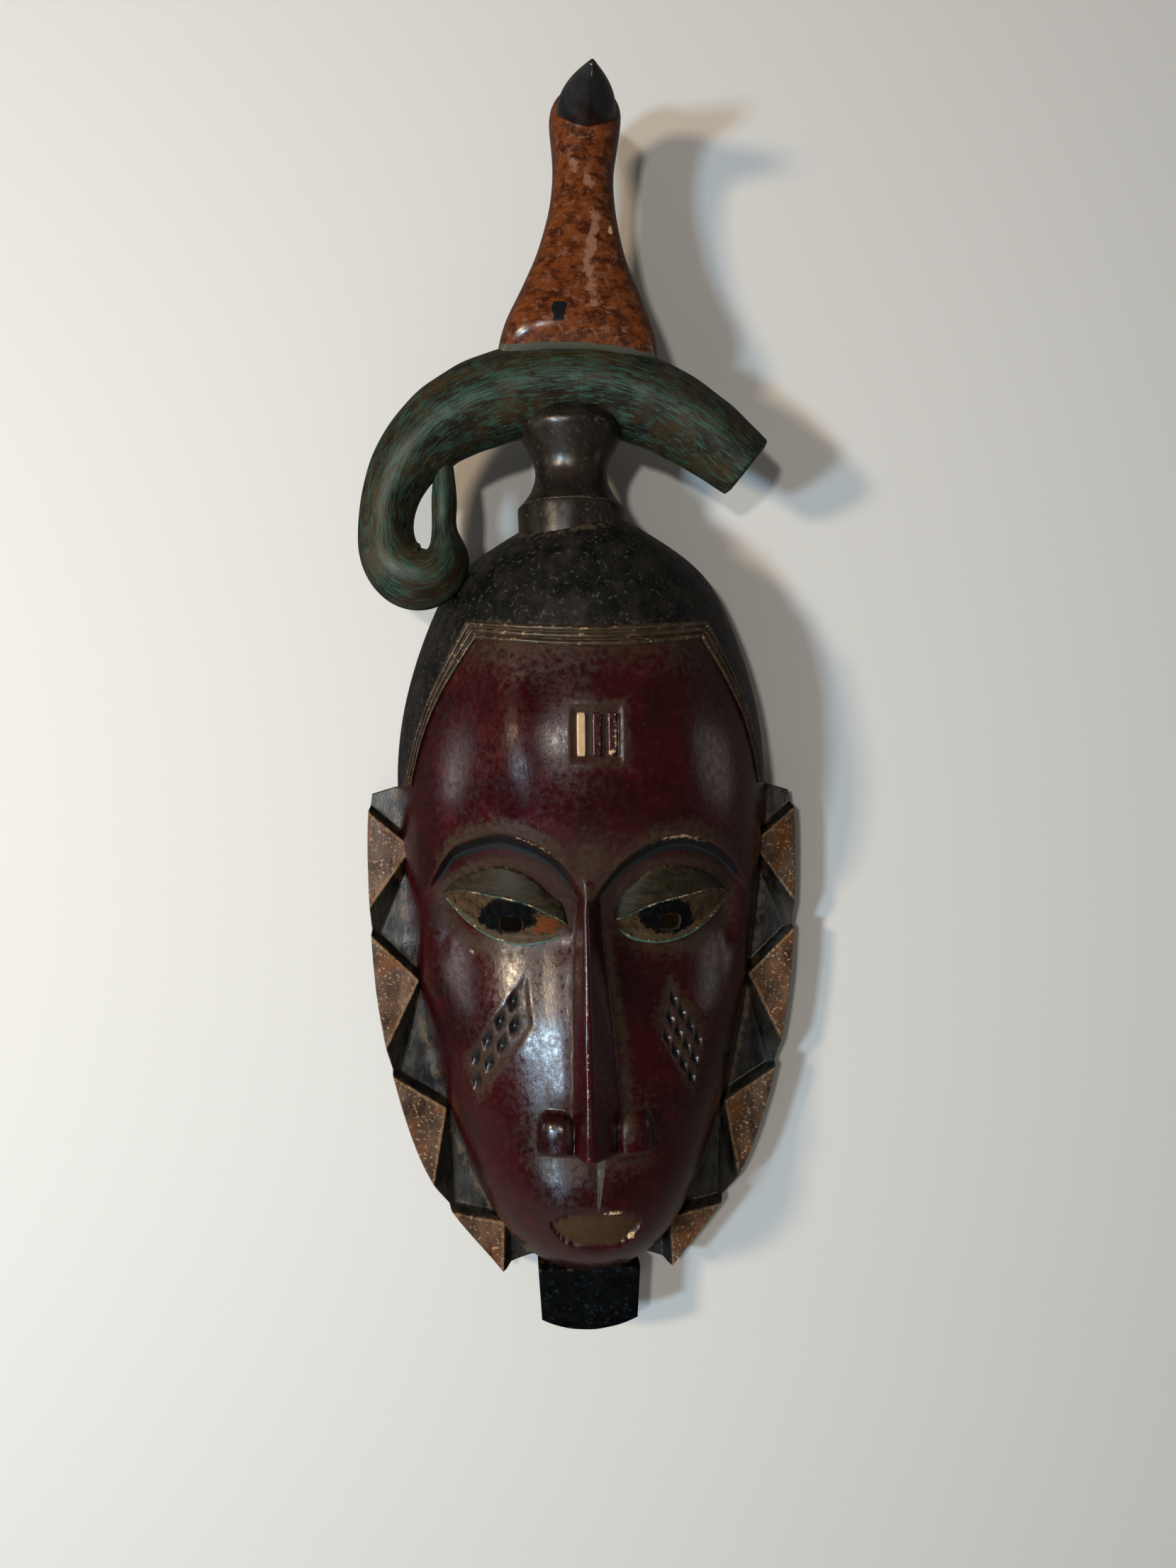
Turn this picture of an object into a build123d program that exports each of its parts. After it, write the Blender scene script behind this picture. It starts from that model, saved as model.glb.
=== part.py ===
from build123d import *
from functools import cache
import math
import os

os.makedirs("parts", exist_ok=True)

# A hollow wall mask carved in wood: a long face with a skull cap, zigzag side flanges, and a
# crest of a turned post, a curled horn and a bird.
#
# Millimetres. X points to the viewer's right, Z points up, and the face looks along -Y.
# The rim lies on the wall plane Y = 0, and "depth" means the distance in front of that plane.
# The origin is the middle of the chin post's flat back, on the mask's centre line.

# ---- Heights, as steps upwards from the foot of the chin post ----------------------------------
CHIN_POST_DROP = 25.0
CHIN_TO_JAW = 13.0
JAW_TO_MOUTH = 19.0
MOUTH_TO_NOSE = 28.0
NOSE_TO_CHEEK = 45.0
CHEEK_TO_EYE = 40.0
EYE_TO_BROW = 31.0
BROW_TO_TEMPLE = 18.0
TEMPLE_TO_FOREHEAD = 38.0
FOREHEAD_TO_HEAD_TURN = 32.0
HEAD_TURN_TO_CROWN = 20.0
CROWN_TO_TOP = 11.0

FOOT_Z = -CHIN_POST_DROP / 2
CHIN_Z = FOOT_Z + CHIN_POST_DROP
JAW_Z = CHIN_Z + CHIN_TO_JAW
MOUTH_Z = JAW_Z + JAW_TO_MOUTH
NOSE_Z = MOUTH_Z + MOUTH_TO_NOSE
CHEEK_Z = NOSE_Z + NOSE_TO_CHEEK
EYE_Z = CHEEK_Z + CHEEK_TO_EYE
BROW_Z = EYE_Z + EYE_TO_BROW
TEMPLE_Z = BROW_Z + BROW_TO_TEMPLE
FOREHEAD_Z = TEMPLE_Z + TEMPLE_TO_FOREHEAD
HEAD_TURN_Z = FOREHEAD_Z + FOREHEAD_TO_HEAD_TURN
CROWN_Z = HEAD_TURN_Z + HEAD_TURN_TO_CROWN
HEAD_TOP_Z = CROWN_Z + CROWN_TO_TOP

# ---- Half width and depth of the head at those heights -----------------------------------------
CHIN_HALF, CHIN_DEPTH = 20.5, 30.0
JAW_HALF, JAW_DEPTH = 33.0, 57.0
MOUTH_HALF, MOUTH_DEPTH = 45.0, 71.5
NOSE_HALF, NOSE_DEPTH = 56.0, 69.5
CHEEK_HALF, CHEEK_DEPTH = 67.5, 65.0
EYE_HALF, EYE_DEPTH = 73.0, 71.0
BROW_HALF, BROW_DEPTH = 75.5, 81.5
TEMPLE_HALF, TEMPLE_DEPTH = 76.5, 84.5
FOREHEAD_HALF, FOREHEAD_DEPTH = 72.0, 83.0
HEAD_TURN_HALF, HEAD_TURN_DEPTH = 61.0, 76.0
CROWN_HALF, CROWN_DEPTH = 46.0, 66.0
TOP_HALF, TOP_DEPTH = 28.0, 57.0
SIDE_SQUARENESS = 2.4
SHELL_WALL = 11.0

# ---- Brow arches over the sunk eye sockets -----------------------------------------------------
SOCKET_SINK = 4.5
SOCKET_FLARE = 2.0
BROW_ARCH_X = 34.0
BROW_END_X = 60.0
BROW_END_DROP = 16.0
BROW_INNER_X = 11.0
BROW_INNER_DROP = 10.5
BRIDGE_DROP = 22.5
SOCKET_FOOT_RISE = 6.0

# ---- Eyes: almond lids with a pierced pupil ----------------------------------------------------
EYE_OUTER_X, EYE_OUTER_RISE = 56.0, 7.0
EYE_INNER_X, EYE_INNER_DROP = 8.5, 2.5
LID_TOP_X, LID_TOP_RISE = 31.0, 18.7
LID_EDGE_RISE = 5.7
EYE_FOOT_X, EYE_FOOT_DROP = 27.0, 11.0
LENS_HALF_LENGTH = 27.0
LENS_HALF_HEIGHT = 18.0
LENS_HALF_THICKNESS = 9.0
LENS_RISE = 3.5
LID_PROUD = 5.5
LID_STEP = 1.6
EYE_TURN = 22.0
PUPIL_X = 30.0
PUPIL_DROP = 3.5
PUPIL_LENGTH = 8.5
PUPIL_HEIGHT = 6.5
PUPIL_CORNER_RADIUS = 2.2

# ---- Nose --------------------------------------------------------------------------------------
NOSE_PROUD = 15.0
BRIDGE_PROUD = 6.0
NOSE_RIDGE_X = -3.4
NOSE_RIDGE_WIDTH = 2.4
NOSE_BRIDGE_HALF = 4.5
NOSE_BASE_HALF = 8.5
NOSE_ROOT = 14.0
NOSE_TOP_RISE = 2.5
NOSTRIL_X = 14.5
NOSTRIL_HALF_WIDTH = 6.6
NOSTRIL_HALF_HEIGHT = 7.0
NOSTRIL_HALF_THICKNESS = 11.0
NOSTRIL_SET_BACK = 2.5

# ---- Mouth and cheek scars ---------------------------------------------------------------------
MOUTH_HALF_LENGTH = 17.5
LIP_RISE = 5.0
LIP_DROP = 9.0
MOUTH_SINK = 2.0
SCAR_LENGTH = 8.0
SCAR_WIDTH = 3.2
SCAR_SLANT = 20.0
SCAR_SINK = 1.5
SCAR_ROWS = 2
SCARS_IN_ROW = 4
SCAR_TOP_X = 29.5
SCAR_TOP_RISE = 8.0
SCAR_STEP_OUT = 4.7
SCAR_STEP_DOWN = 7.4
SCAR_ROW_DROP = 8.6

# ---- Forehead bars, let into one shallow recess ------------------------------------------------
BAR_COUNT = 3
BAR_WIDTH = 3.1
BAR_HEIGHT = 15.5
BAR_PITCH = 5.5
BAR_PROUD = 0.8
BAR_SEAT = 2.5
BAR_MARGIN = 0.6
BAR_CENTRE_X = 1.0
BAR_RISE = 17.5

# ---- Hairline band, let into the joint between face and cap ------------------------------------
BAND_FOOT_X = 71.5
BAND_BEND_X = 62.3
BAND_BEND_RISE = 29.5
BAND_CORNER_X = 45.5
BAND_CORNER_RISE = 61.5
BAND_SAG = 4.8
BAND_TOP_WIDTH = 8.0
BAND_SIDE_WIDTH = 3.8
BAND_SEAT = 3.0
BAND_PROUD = 1.0
BAND_RIDGE_PROUD = 2.2
BAND_RIDGES = 3
BAND_RIDGE_SHARE = 0.6
# The joint of face and cap lies under the middle of the band.
BAND_JOINT_SHARE = 0.5

# ---- Hanging holes, bored square through the side walls at the temples -------------------------
CORD_HOLE_RADIUS = 2.5
CORD_HOLE_RISE = 6.5
CORD_HOLE_DEPTH = 13.0
CORD_HOLE_TURN = 6.7

# ---- Side flanges, as reach beyond the head, with triangular pads along the rim ----------------
FLANGE_REACH_AT_MOUTH = 17.2
FLANGE_REACH_AT_NOSE = 17.6
FLANGE_REACH_AT_CHEEK = 16.3
FLANGE_REACH_AT_EYE = 13.9
FLANGE_REACH_AT_TEMPLE = 10.0
FLANGE_TOP_SLOPE = 3.0
FLANGE_TIP_REACH = 14.0
FLANGE_TIP_DROP = 3.5
FLANGE_HEEL_RISE = 1.5
FLANGE_PLATE = 13.0
PAD_PROUD = 7.0
PAD_DRAFT = 20.0
PAD_REACH = 18.0
PAD_FIRST_DROP = 10.0
PAD_GAP = 10.5
PAD_LENGTHS = (39.5, 46.5, 45.0, 27.0)
PAD_APEX_SHARES = (0.62, 0.60, 0.70, 0.82)
PAD_OVERRUN = 1.4

# ---- Chin post ---------------------------------------------------------------------------------
CHIN_POST_TOP_WIDTH = 41.0
CHIN_POST_FOOT_WIDTH = 38.5
CHIN_POST_DEPTH = 28.0
CHIN_POST_FOOT_CURVE = 4.5

# ---- Crest post: a turned spool standing on the crown ------------------------------------------
CREST_X = -4.7
CREST_DEPTH = 40.0
CREST_BASE_RADIUS = 21.0
CREST_BASE_SINK = 16.0
CREST_BASE_RING = 6.0
CREST_NECKING = 1.0
CREST_WAIST_RADIUS = 14.2
CREST_WAIST_RISE = 19.5
CREST_RIM_RADIUS = 20.4
CREST_RIM_RISE = 34.0
CREST_RIM_HEIGHT = 3.5
CREST_SEAT_RADIUS = 14.0
CREST_SEAT_RISE = 44.0

# ---- Curled horn: middle line and thickness, from the blunt end over the post to the curl ------
HORN_DEPTH = 42.0
HORN_ARCH = (
    (64.5, 22.0, 26.0),
    (43.5, 38.0, 31.5),
    (20.0, 49.5, 34.5),
    (-5.0, 53.5, 35.5),
    (-30.0, 49.5, 35.0),
    (-54.5, 38.0, 31.0),
    (-70.5, 20.0, 24.5),
)
HORN_PEAK = 3
CURL_CENTRE_X = -62.3
CURL_CENTRE_RISE = -4.0
CURL_HOLE_RADIUS = 3.2
CURL_THICKNESSES = (21.5, 24.5, 26.0, 18.5, 10.5)
CURL_TIP_X = -54.0
CURL_TIP_RISES = (7.0, 17.0, 27.0)
CURL_TIP_THICKNESSES = (9.8, 8.6, 6.5)
HORN_SQUARENESS = 2.8

# ---- Bird: half widths and half depths by rise over the horn's top -----------------------------
BIRD_FOOT_X = -1.8
BIRD_HEAD_X = 1.8
BIRD_HEEL_DROP, BIRD_HEEL_HALF, BIRD_HEEL_HALF_DEPTH = 12.0, 31.5, 8.0
BIRD_BASE_DROP, BIRD_BASE_HALF, BIRD_BASE_HALF_DEPTH = 3.0, 30.5, 16.5
BIRD_BODY_RISE, BIRD_BODY_HALF, BIRD_BODY_HALF_DEPTH = 14.0, 24.5, 16.0
BIRD_SHOULDER_RISE, BIRD_SHOULDER_HALF, BIRD_SHOULDER_HALF_DEPTH = 30.0, 17.8, 14.0
BIRD_NECK_RISE, BIRD_NECK_HALF, BIRD_NECK_HALF_DEPTH = 51.0, 12.8, 12.5
BIRD_NAPE_RISE, BIRD_NAPE_HALF, BIRD_NAPE_HALF_DEPTH = 66.0, 12.0, 12.0
BIRD_HEAD_RISE, BIRD_HEAD_HALF, BIRD_HEAD_HALF_DEPTH = 82.0, 13.8, 14.5
BIRD_CROWN_RISE, BIRD_CROWN_HALF, BIRD_CROWN_HALF_DEPTH = 93.0, 10.5, 11.5
BIRD_TOP_RISE, BIRD_TOP_HALF, BIRD_TOP_HALF_DEPTH = 98.0, 4.0, 4.5
BIRD_SQUARENESS = 2.6
BEAK_SQUARENESS = 2.2
BEAK_LENGTH = 30.0
BEAK_SEAT = 10.0
BEAK_ROOT_HALF, BEAK_ROOT_HALF_HEIGHT = 11.5, 9.0
BEAK_MIDDLE_HALF, BEAK_MIDDLE_HALF_HEIGHT = 7.5, 6.0
BEAK_TIP_HALF, BEAK_TIP_HALF_HEIGHT = 1.2, 1.6
BEAK_TIP_DROP = 3.0
BEAK_MIDDLE_DROP = 1.0
BEAK_MIDDLE_SHARE = 0.6
BEAK_RISE = 2.3

# ---- Dowels that join the members, each in a bore with a glue gap ------------------------------
DOWEL_RADIUS = 4.0
PEG_RADIUS = 2.5
GLUE_GAP = 0.1
CREST_DOWEL_SINK = 11.0
CREST_DOWEL_REACH = 46.0
BIRD_DOWEL_SINK = 16.0
BIRD_DOWEL_REACH = 18.0
CHIN_DOWEL_DEPTH = 14.0
CHIN_DOWEL_SINK = 12.0
CHIN_DOWEL_REACH = 9.0
FLANGE_PEG_DEPTH = 8.0
FLANGE_PEG_HALF_LENGTH = 7.0

# ---- Derived places ----------------------------------------------------------------------------
SECTION_STEPS = 12
FRONT_REACH = 2 * TEMPLE_DEPTH
BEHIND_WALL = 5.0
HORN_TOP_Z = HEAD_TOP_Z + HORN_ARCH[HORN_PEAK][1] + HORN_ARCH[HORN_PEAK][2] / 2
BEAK_Z = HORN_TOP_Z + BIRD_HEAD_RISE + BEAK_RISE

HEAD_STATIONS = (
    (CHIN_Z, CHIN_HALF, CHIN_DEPTH),
    (JAW_Z, JAW_HALF, JAW_DEPTH),
    (MOUTH_Z, MOUTH_HALF, MOUTH_DEPTH),
    (NOSE_Z, NOSE_HALF, NOSE_DEPTH),
    (CHEEK_Z, CHEEK_HALF, CHEEK_DEPTH),
    (EYE_Z, EYE_HALF, EYE_DEPTH),
    (BROW_Z, BROW_HALF, BROW_DEPTH),
    (TEMPLE_Z, TEMPLE_HALF, TEMPLE_DEPTH),
    (FOREHEAD_Z, FOREHEAD_HALF, FOREHEAD_DEPTH),
    (HEAD_TURN_Z, HEAD_TURN_HALF, HEAD_TURN_DEPTH),
    (CROWN_Z, CROWN_HALF, CROWN_DEPTH),
    (HEAD_TOP_Z, TOP_HALF, TOP_DEPTH),
)

SOCKET_STATIONS = (
    (NOSE_Z, NOSE_HALF + SOCKET_FLARE, NOSE_DEPTH + SOCKET_FLARE),
    (CHEEK_Z, CHEEK_HALF + SOCKET_FLARE, CHEEK_DEPTH + SOCKET_FLARE),
    (EYE_Z, EYE_HALF + SOCKET_FLARE, EYE_DEPTH - SOCKET_SINK),
    (BROW_Z, BROW_HALF + SOCKET_FLARE, BROW_DEPTH - 2 * SOCKET_SINK),
    (TEMPLE_Z, TEMPLE_HALF + SOCKET_FLARE, TEMPLE_DEPTH - 2 * SOCKET_SINK),
)

BIRD_STATIONS = (
    (-BIRD_HEEL_DROP, BIRD_HEEL_HALF, BIRD_HEEL_HALF_DEPTH),
    (-BIRD_BASE_DROP, BIRD_BASE_HALF, BIRD_BASE_HALF_DEPTH),
    (BIRD_BODY_RISE, BIRD_BODY_HALF, BIRD_BODY_HALF_DEPTH),
    (BIRD_SHOULDER_RISE, BIRD_SHOULDER_HALF, BIRD_SHOULDER_HALF_DEPTH),
    (BIRD_NECK_RISE, BIRD_NECK_HALF, BIRD_NECK_HALF_DEPTH),
    (BIRD_NAPE_RISE, BIRD_NAPE_HALF, BIRD_NAPE_HALF_DEPTH),
    (BIRD_HEAD_RISE, BIRD_HEAD_HALF, BIRD_HEAD_HALF_DEPTH),
    (BIRD_CROWN_RISE, BIRD_CROWN_HALF, BIRD_CROWN_HALF_DEPTH),
    (BIRD_TOP_RISE, BIRD_TOP_HALF, BIRD_TOP_HALF_DEPTH),
)


# ---- The head as a smooth form -----------------------------------------------------------------
def head_section(height, half_width, depth):
    """One level slice: a flat back on the wall plane and a squarish rounded front."""
    points = []
    for step in range(SECTION_STEPS + 1):
        angle = math.pi * step / SECTION_STEPS
        across = math.copysign(abs(math.cos(angle)) ** (2 / SIDE_SQUARENESS), math.cos(angle))
        points.append((half_width * across, -depth * math.sin(angle), height))
    front = Spline(*points, tangents=[(0, -1, 0), (0, 1, 0)])
    return make_face([front, Line(points[-1], points[0])])


@cache
def head_form(grow=0.0, stations=HEAD_STATIONS):
    """The head as one smooth solid, grown or shrunk all round by a distance."""
    return loft([head_section(z, half + grow, depth + grow) for z, half, depth in stations])


def depth_at(half_width, depth, x):
    """Depth of the rounded front of a slice at a place across it."""
    return depth * math.sqrt(1 - (abs(x) / half_width) ** SIDE_SQUARENESS)


def at(x, depth, z):
    """A place given across, in front of the wall plane and up."""
    return Pos(x, -depth, z)


def front_prism(edges, start=-BEHIND_WALL):
    """An outline drawn in the XZ plane, carried forwards from a start depth past the face."""
    outline = Pos(0, -start, 0) * make_face(edges)
    return extrude(outline, amount=FRONT_REACH, dir=(0, -1, 0))


def skin_cutter(prism, sink):
    """The part of a prism that lies outside the head shrunk by the sink."""
    return prism - head_form(-sink)


def mirrored(shape):
    """The same shape on the other side of the centre plane."""
    return mirror(shape, about=Plane.YZ)


# ---- Face --------------------------------------------------------------------------------------
def socket_cutter():
    """What is carved away under the brow arches, down to the plane of the eyes."""
    end = (BROW_END_X, 0, BROW_Z - BROW_END_DROP)
    crest = (BROW_ARCH_X, 0, BROW_Z)
    inner = (BROW_INNER_X, 0, BROW_Z - BROW_INNER_DROP)
    bridge = (0, 0, BROW_Z - BRIDGE_DROP)
    arch = Spline(end, crest, inner, bridge)
    side_x = EYE_HALF + SHELL_WALL
    foot_z = CHEEK_Z + SOCKET_FOOT_RISE
    side = Polyline(end, (side_x, 0, end[2]), (side_x, 0, foot_z), (0, 0, foot_z))
    half = front_prism([arch, side, Line((0, 0, foot_z), bridge)], start=BEHIND_WALL)
    return half + mirrored(half) - head_form(stations=SOCKET_STATIONS)


def nose_wedge():
    """A straight ridge from the bridge to the tip, a little off the centre line as carved."""
    def slice_at(z, half, root_depth, ridge_depth):
        edge = NOSE_RIDGE_WIDTH / 2
        return make_face(Polyline(
            (-half, -root_depth, z),
            (NOSE_RIDGE_X - edge, -ridge_depth, z),
            (NOSE_RIDGE_X + edge, -ridge_depth, z),
            (half, -root_depth, z),
            close=True,
        ))

    top_z = BROW_Z - BRIDGE_DROP + NOSE_TOP_RISE
    top = slice_at(top_z, NOSE_BRIDGE_HALF, EYE_DEPTH - NOSE_ROOT, EYE_DEPTH + BRIDGE_PROUD)
    base = slice_at(NOSE_Z, NOSE_BASE_HALF, NOSE_DEPTH - NOSE_ROOT, NOSE_DEPTH + NOSE_PROUD)
    return loft([base, top], ruled=True)


def nostril():
    """A rounded wing beside the foot of the nose."""
    wing = scale(Sphere(1), by=(NOSTRIL_HALF_WIDTH, NOSTRIL_HALF_THICKNESS, NOSTRIL_HALF_HEIGHT))
    surface = depth_at(NOSE_HALF, NOSE_DEPTH, NOSTRIL_X)
    return at(NOSTRIL_X, surface - NOSTRIL_SET_BACK, NOSE_Z + NOSTRIL_HALF_HEIGHT) * wing


def eye_lens(proud):
    """A swollen form in a socket, turned outwards with the side of the face."""
    lens_x = (EYE_OUTER_X + EYE_INNER_X) / 2
    lens = scale(Sphere(1), by=(LENS_HALF_LENGTH, LENS_HALF_THICKNESS, LENS_HALF_HEIGHT))
    middle = depth_at(EYE_HALF, EYE_DEPTH - SOCKET_SINK, lens_x) + proud - LENS_HALF_THICKNESS
    return at(lens_x, middle, EYE_Z + LENS_RISE) * Rot(Z=EYE_TURN) * lens


def eye():
    """An almond eye: the upper lid ends in an edge that stands proud of the eyeball below it."""
    outer = (EYE_OUTER_X, 0, EYE_Z + EYE_OUTER_RISE)
    inner = (EYE_INNER_X, 0, EYE_Z - EYE_INNER_DROP)
    top = ThreePointArc(outer, (LID_TOP_X, 0, EYE_Z + LID_TOP_RISE), inner)
    edge = ThreePointArc(outer, (LID_TOP_X, 0, EYE_Z + LID_EDGE_RISE), inner)
    foot = ThreePointArc(outer, (EYE_FOOT_X, 0, EYE_Z - EYE_FOOT_DROP), inner)
    lid = front_prism([top, edge], start=BEHIND_WALL) & eye_lens(LID_PROUD)
    ball = front_prism([edge, foot], start=BEHIND_WALL) & eye_lens(LID_PROUD - LID_STEP)
    return lid + ball


def pupil_bore():
    """The pierced pupil, open right through the wall."""
    slot = Plane.XZ * RectangleRounded(PUPIL_LENGTH, PUPIL_HEIGHT, PUPIL_CORNER_RADIUS)
    return at(PUPIL_X, 0, EYE_Z - PUPIL_DROP) * extrude(slot, amount=FRONT_REACH)


def mouth_cutter():
    """A shallow lens between the lips."""
    corner, other = (MOUTH_HALF_LENGTH, 0, MOUTH_Z), (-MOUTH_HALF_LENGTH, 0, MOUTH_Z)
    upper = ThreePointArc(corner, (0, 0, MOUTH_Z + LIP_RISE), other)
    lower = ThreePointArc(other, (0, 0, MOUTH_Z - LIP_DROP), corner)
    return skin_cutter(front_prism([upper, lower], start=JAW_DEPTH / 2), MOUTH_SINK)


def scar_cutter():
    """Two slanting rows of lozenges cut into each cheek."""
    cutter = Part()
    for row in range(SCAR_ROWS):
        for step in range(SCARS_IN_ROW):
            x = SCAR_TOP_X + step * SCAR_STEP_OUT
            z = CHEEK_Z + SCAR_TOP_RISE - row * SCAR_ROW_DROP - step * SCAR_STEP_DOWN
            lozenge = Polyline(
                (0, 0, SCAR_LENGTH / 2),
                (SCAR_WIDTH / 2, 0, 0),
                (0, 0, -SCAR_LENGTH / 2),
                (-SCAR_WIDTH / 2, 0, 0),
                close=True,
            )
            cutter += Pos(x, 0, z) * Rot(Y=SCAR_SLANT) * front_prism(lozenge, start=BEHIND_WALL)
    return skin_cutter(cutter + mirrored(cutter), SCAR_SINK)


def bar_prism(width, height):
    """A block carried forwards through the middle of the forehead."""
    block = Box(width, FRONT_REACH, height)
    return at(BAR_CENTRE_X, FRONT_REACH / 2 + BEHIND_WALL, TEMPLE_Z + BAR_RISE) * block


def bar_recess():
    """The shallow recess that the forehead bars stand in."""
    width = (BAR_COUNT - 1) * BAR_PITCH + BAR_WIDTH + 2 * BAR_MARGIN
    return skin_cutter(bar_prism(width, BAR_HEIGHT + 2 * BAR_MARGIN), BAR_SEAT)


def forehead_bars():
    """Three upright bars, seated on the floor of the recess."""
    layer = head_form(BAR_PROUD) - head_form(-BAR_SEAT)
    first = -(BAR_COUNT - 1) / 2 * BAR_PITCH
    return [
        Pos(first + index * BAR_PITCH, 0, 0) * bar_prism(BAR_WIDTH, BAR_HEIGHT) & layer
        for index in range(BAR_COUNT)
    ]


# ---- Hairline ----------------------------------------------------------------------------------
def hairline_prism(share):
    """Everything inside the hairline arch, drawn in from its outer edge by a share of the band."""
    top_inset = share * BAND_TOP_WIDTH
    side_inset = share * BAND_SIDE_WIDTH
    corner_z = TEMPLE_Z + BAND_CORNER_RISE - top_inset
    foot = (BAND_FOOT_X - side_inset, 0, TEMPLE_Z)
    bend = (BAND_BEND_X - side_inset, 0, TEMPLE_Z + BAND_BEND_RISE - side_inset / 2)
    corner = (BAND_CORNER_X - side_inset, 0, corner_z)
    sag = (0, 0, corner_z - BAND_SAG)

    def other(point):
        return (-point[0], point[1], point[2])

    return front_prism([
        ThreePointArc(foot, bend, corner),
        ThreePointArc(corner, sag, other(corner)),
        ThreePointArc(other(corner), other(bend), other(foot)),
        Line(other(foot), foot),
    ])


def hairline_band():
    """A strip with three ridges, seated in a groove that covers the joint of face and cap."""
    floor = head_form(-BAND_SEAT)
    strip = (hairline_prism(0) - hairline_prism(1)) & head_form(BAND_PROUD)
    raised = head_form(BAND_RIDGE_PROUD)
    for ridge in range(BAND_RIDGES):
        outer = (ridge + (1 - BAND_RIDGE_SHARE) / 2) / BAND_RIDGES
        inner = outer + BAND_RIDGE_SHARE / BAND_RIDGES
        strip += (hairline_prism(outer) - hairline_prism(inner)) & raised
    return strip - floor


def band_groove():
    """The groove that the hairline band is let into."""
    return skin_cutter(hairline_prism(0) - hairline_prism(1), BAND_SEAT)


def cord_hole():
    """A round hole square to the side wall, through face and cap, for the hanging cord."""
    hole = Rot(Z=-CORD_HOLE_TURN) * Rot(Y=90) * Cylinder(CORD_HOLE_RADIUS, 4 * SHELL_WALL)
    return at(TEMPLE_HALF - SHELL_WALL / 2, CORD_HOLE_DEPTH, TEMPLE_Z + CORD_HOLE_RISE) * hole


# ---- Shell, cap and face -----------------------------------------------------------------------
def hollow():
    """The space inside the wall, open to the back."""
    inside = head_form(-SHELL_WALL, stations=HEAD_STATIONS[1:-1])
    return [inside, Pos(0, BEHIND_WALL, 0) * inside]


def cap_region():
    """Everything above the temples and outside the middle of the hairline band."""
    tall = HEAD_TOP_Z - TEMPLE_Z + BEHIND_WALL
    block = Box(2 * FRONT_REACH, FRONT_REACH, tall)
    return at(0, FRONT_REACH / 2 - BEHIND_WALL, TEMPLE_Z + tall / 2) * block - hairline_prism(BAND_JOINT_SHARE)


def skull_cap():
    """The cap, with its band groove, hanging holes and the bore for the crest dowel."""
    cuts = [*hollow(), band_groove(), cord_hole(), mirrored(cord_hole()), crest_dowel(GLUE_GAP)]
    return (head_form() & cap_region()) - cuts


def face_shell():
    """The hollow face with brows, sockets, eyes, nose, mouth, scars and recesses."""
    features = [nose_wedge(), nostril(), mirrored(nostril()), eye(), mirrored(eye())]
    bores = [chin_dowel(GLUE_GAP), *flange_pegs(1, GLUE_GAP), *flange_pegs(-1, GLUE_GAP)]
    holes = [pupil_bore(), mirrored(pupil_bore()), cord_hole(), mirrored(cord_hole())]
    carving = [mouth_cutter(), scar_cutter(), bar_recess()]
    face = head_form() - [cap_region(), band_groove(), socket_cutter()] + features
    return face - [*hollow(), *bores, *holes, *carving]


# ---- Side flanges ------------------------------------------------------------------------------
def flange_rim():
    """The flange's outer edge from the tip to the temple, as (x, z)."""
    return [
        (CHIN_HALF + FLANGE_TIP_REACH, CHIN_Z - FLANGE_TIP_DROP),
        (MOUTH_HALF + FLANGE_REACH_AT_MOUTH, MOUTH_Z),
        (NOSE_HALF + FLANGE_REACH_AT_NOSE, NOSE_Z),
        (CHEEK_HALF + FLANGE_REACH_AT_CHEEK, CHEEK_Z),
        (EYE_HALF + FLANGE_REACH_AT_EYE, EYE_Z),
        (TEMPLE_HALF + FLANGE_REACH_AT_TEMPLE, TEMPLE_Z - FLANGE_TOP_SLOPE),
    ]


def rim_x(z):
    """Place of the outer edge at a height, between the rim's points."""
    rim = flange_rim()
    for (x0, z0), (x1, z1) in zip(rim, rim[1:]):
        if z <= z1:
            return x0 + (x1 - x0) * (z - z0) / (z1 - z0)
    return rim[-1][0]


def flange_slab(thickness):
    """The flange's full outline, carried from the wall plane to a thickness."""
    rim = [(x, 0, z) for x, z in flange_rim()]
    heel = (CHIN_HALF, 0, CHIN_Z + FLANGE_HEEL_RISE)
    temple = (TEMPLE_HALF / 2, 0, TEMPLE_Z)
    shoulder = (TEMPLE_HALF, 0, TEMPLE_Z)
    edges = [Spline(*rim), Polyline(rim[-1], shoulder, temple, (0, 0, JAW_Z), heel, rim[0])]
    return extrude(make_face(edges), amount=thickness, dir=(0, -1, 0))


def flange_pads():
    """Triangular pads, their bases on the rim and their points towards the face."""
    pads = []
    high = TEMPLE_Z - PAD_FIRST_DROP
    for length, share in zip(PAD_LENGTHS, PAD_APEX_SHARES):
        low = high - length
        apex_z = low + share * length
        apex_x = rim_x(apex_z) - PAD_REACH
        corners = [(apex_x, apex_z)]
        for z in (high, low):
            corners.append((
                apex_x + PAD_OVERRUN * (rim_x(z) - apex_x),
                apex_z + PAD_OVERRUN * (z - apex_z),
            ))
        outline = Polyline(*[(x, -FLANGE_PLATE, z) for x, z in corners], close=True)
        pads.append(extrude(make_face(outline), amount=PAD_PROUD, dir=(0, -1, 0), taper=PAD_DRAFT))
        high = low - PAD_GAP
    return pads


def flange_blank():
    """One flange before it is scribed to the head: a plate with its row of pads."""
    full = flange_slab(FLANGE_PLATE + PAD_PROUD)
    blank = flange_slab(FLANGE_PLATE)
    for pad in flange_pads():
        blank += pad & full
    return blank


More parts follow.
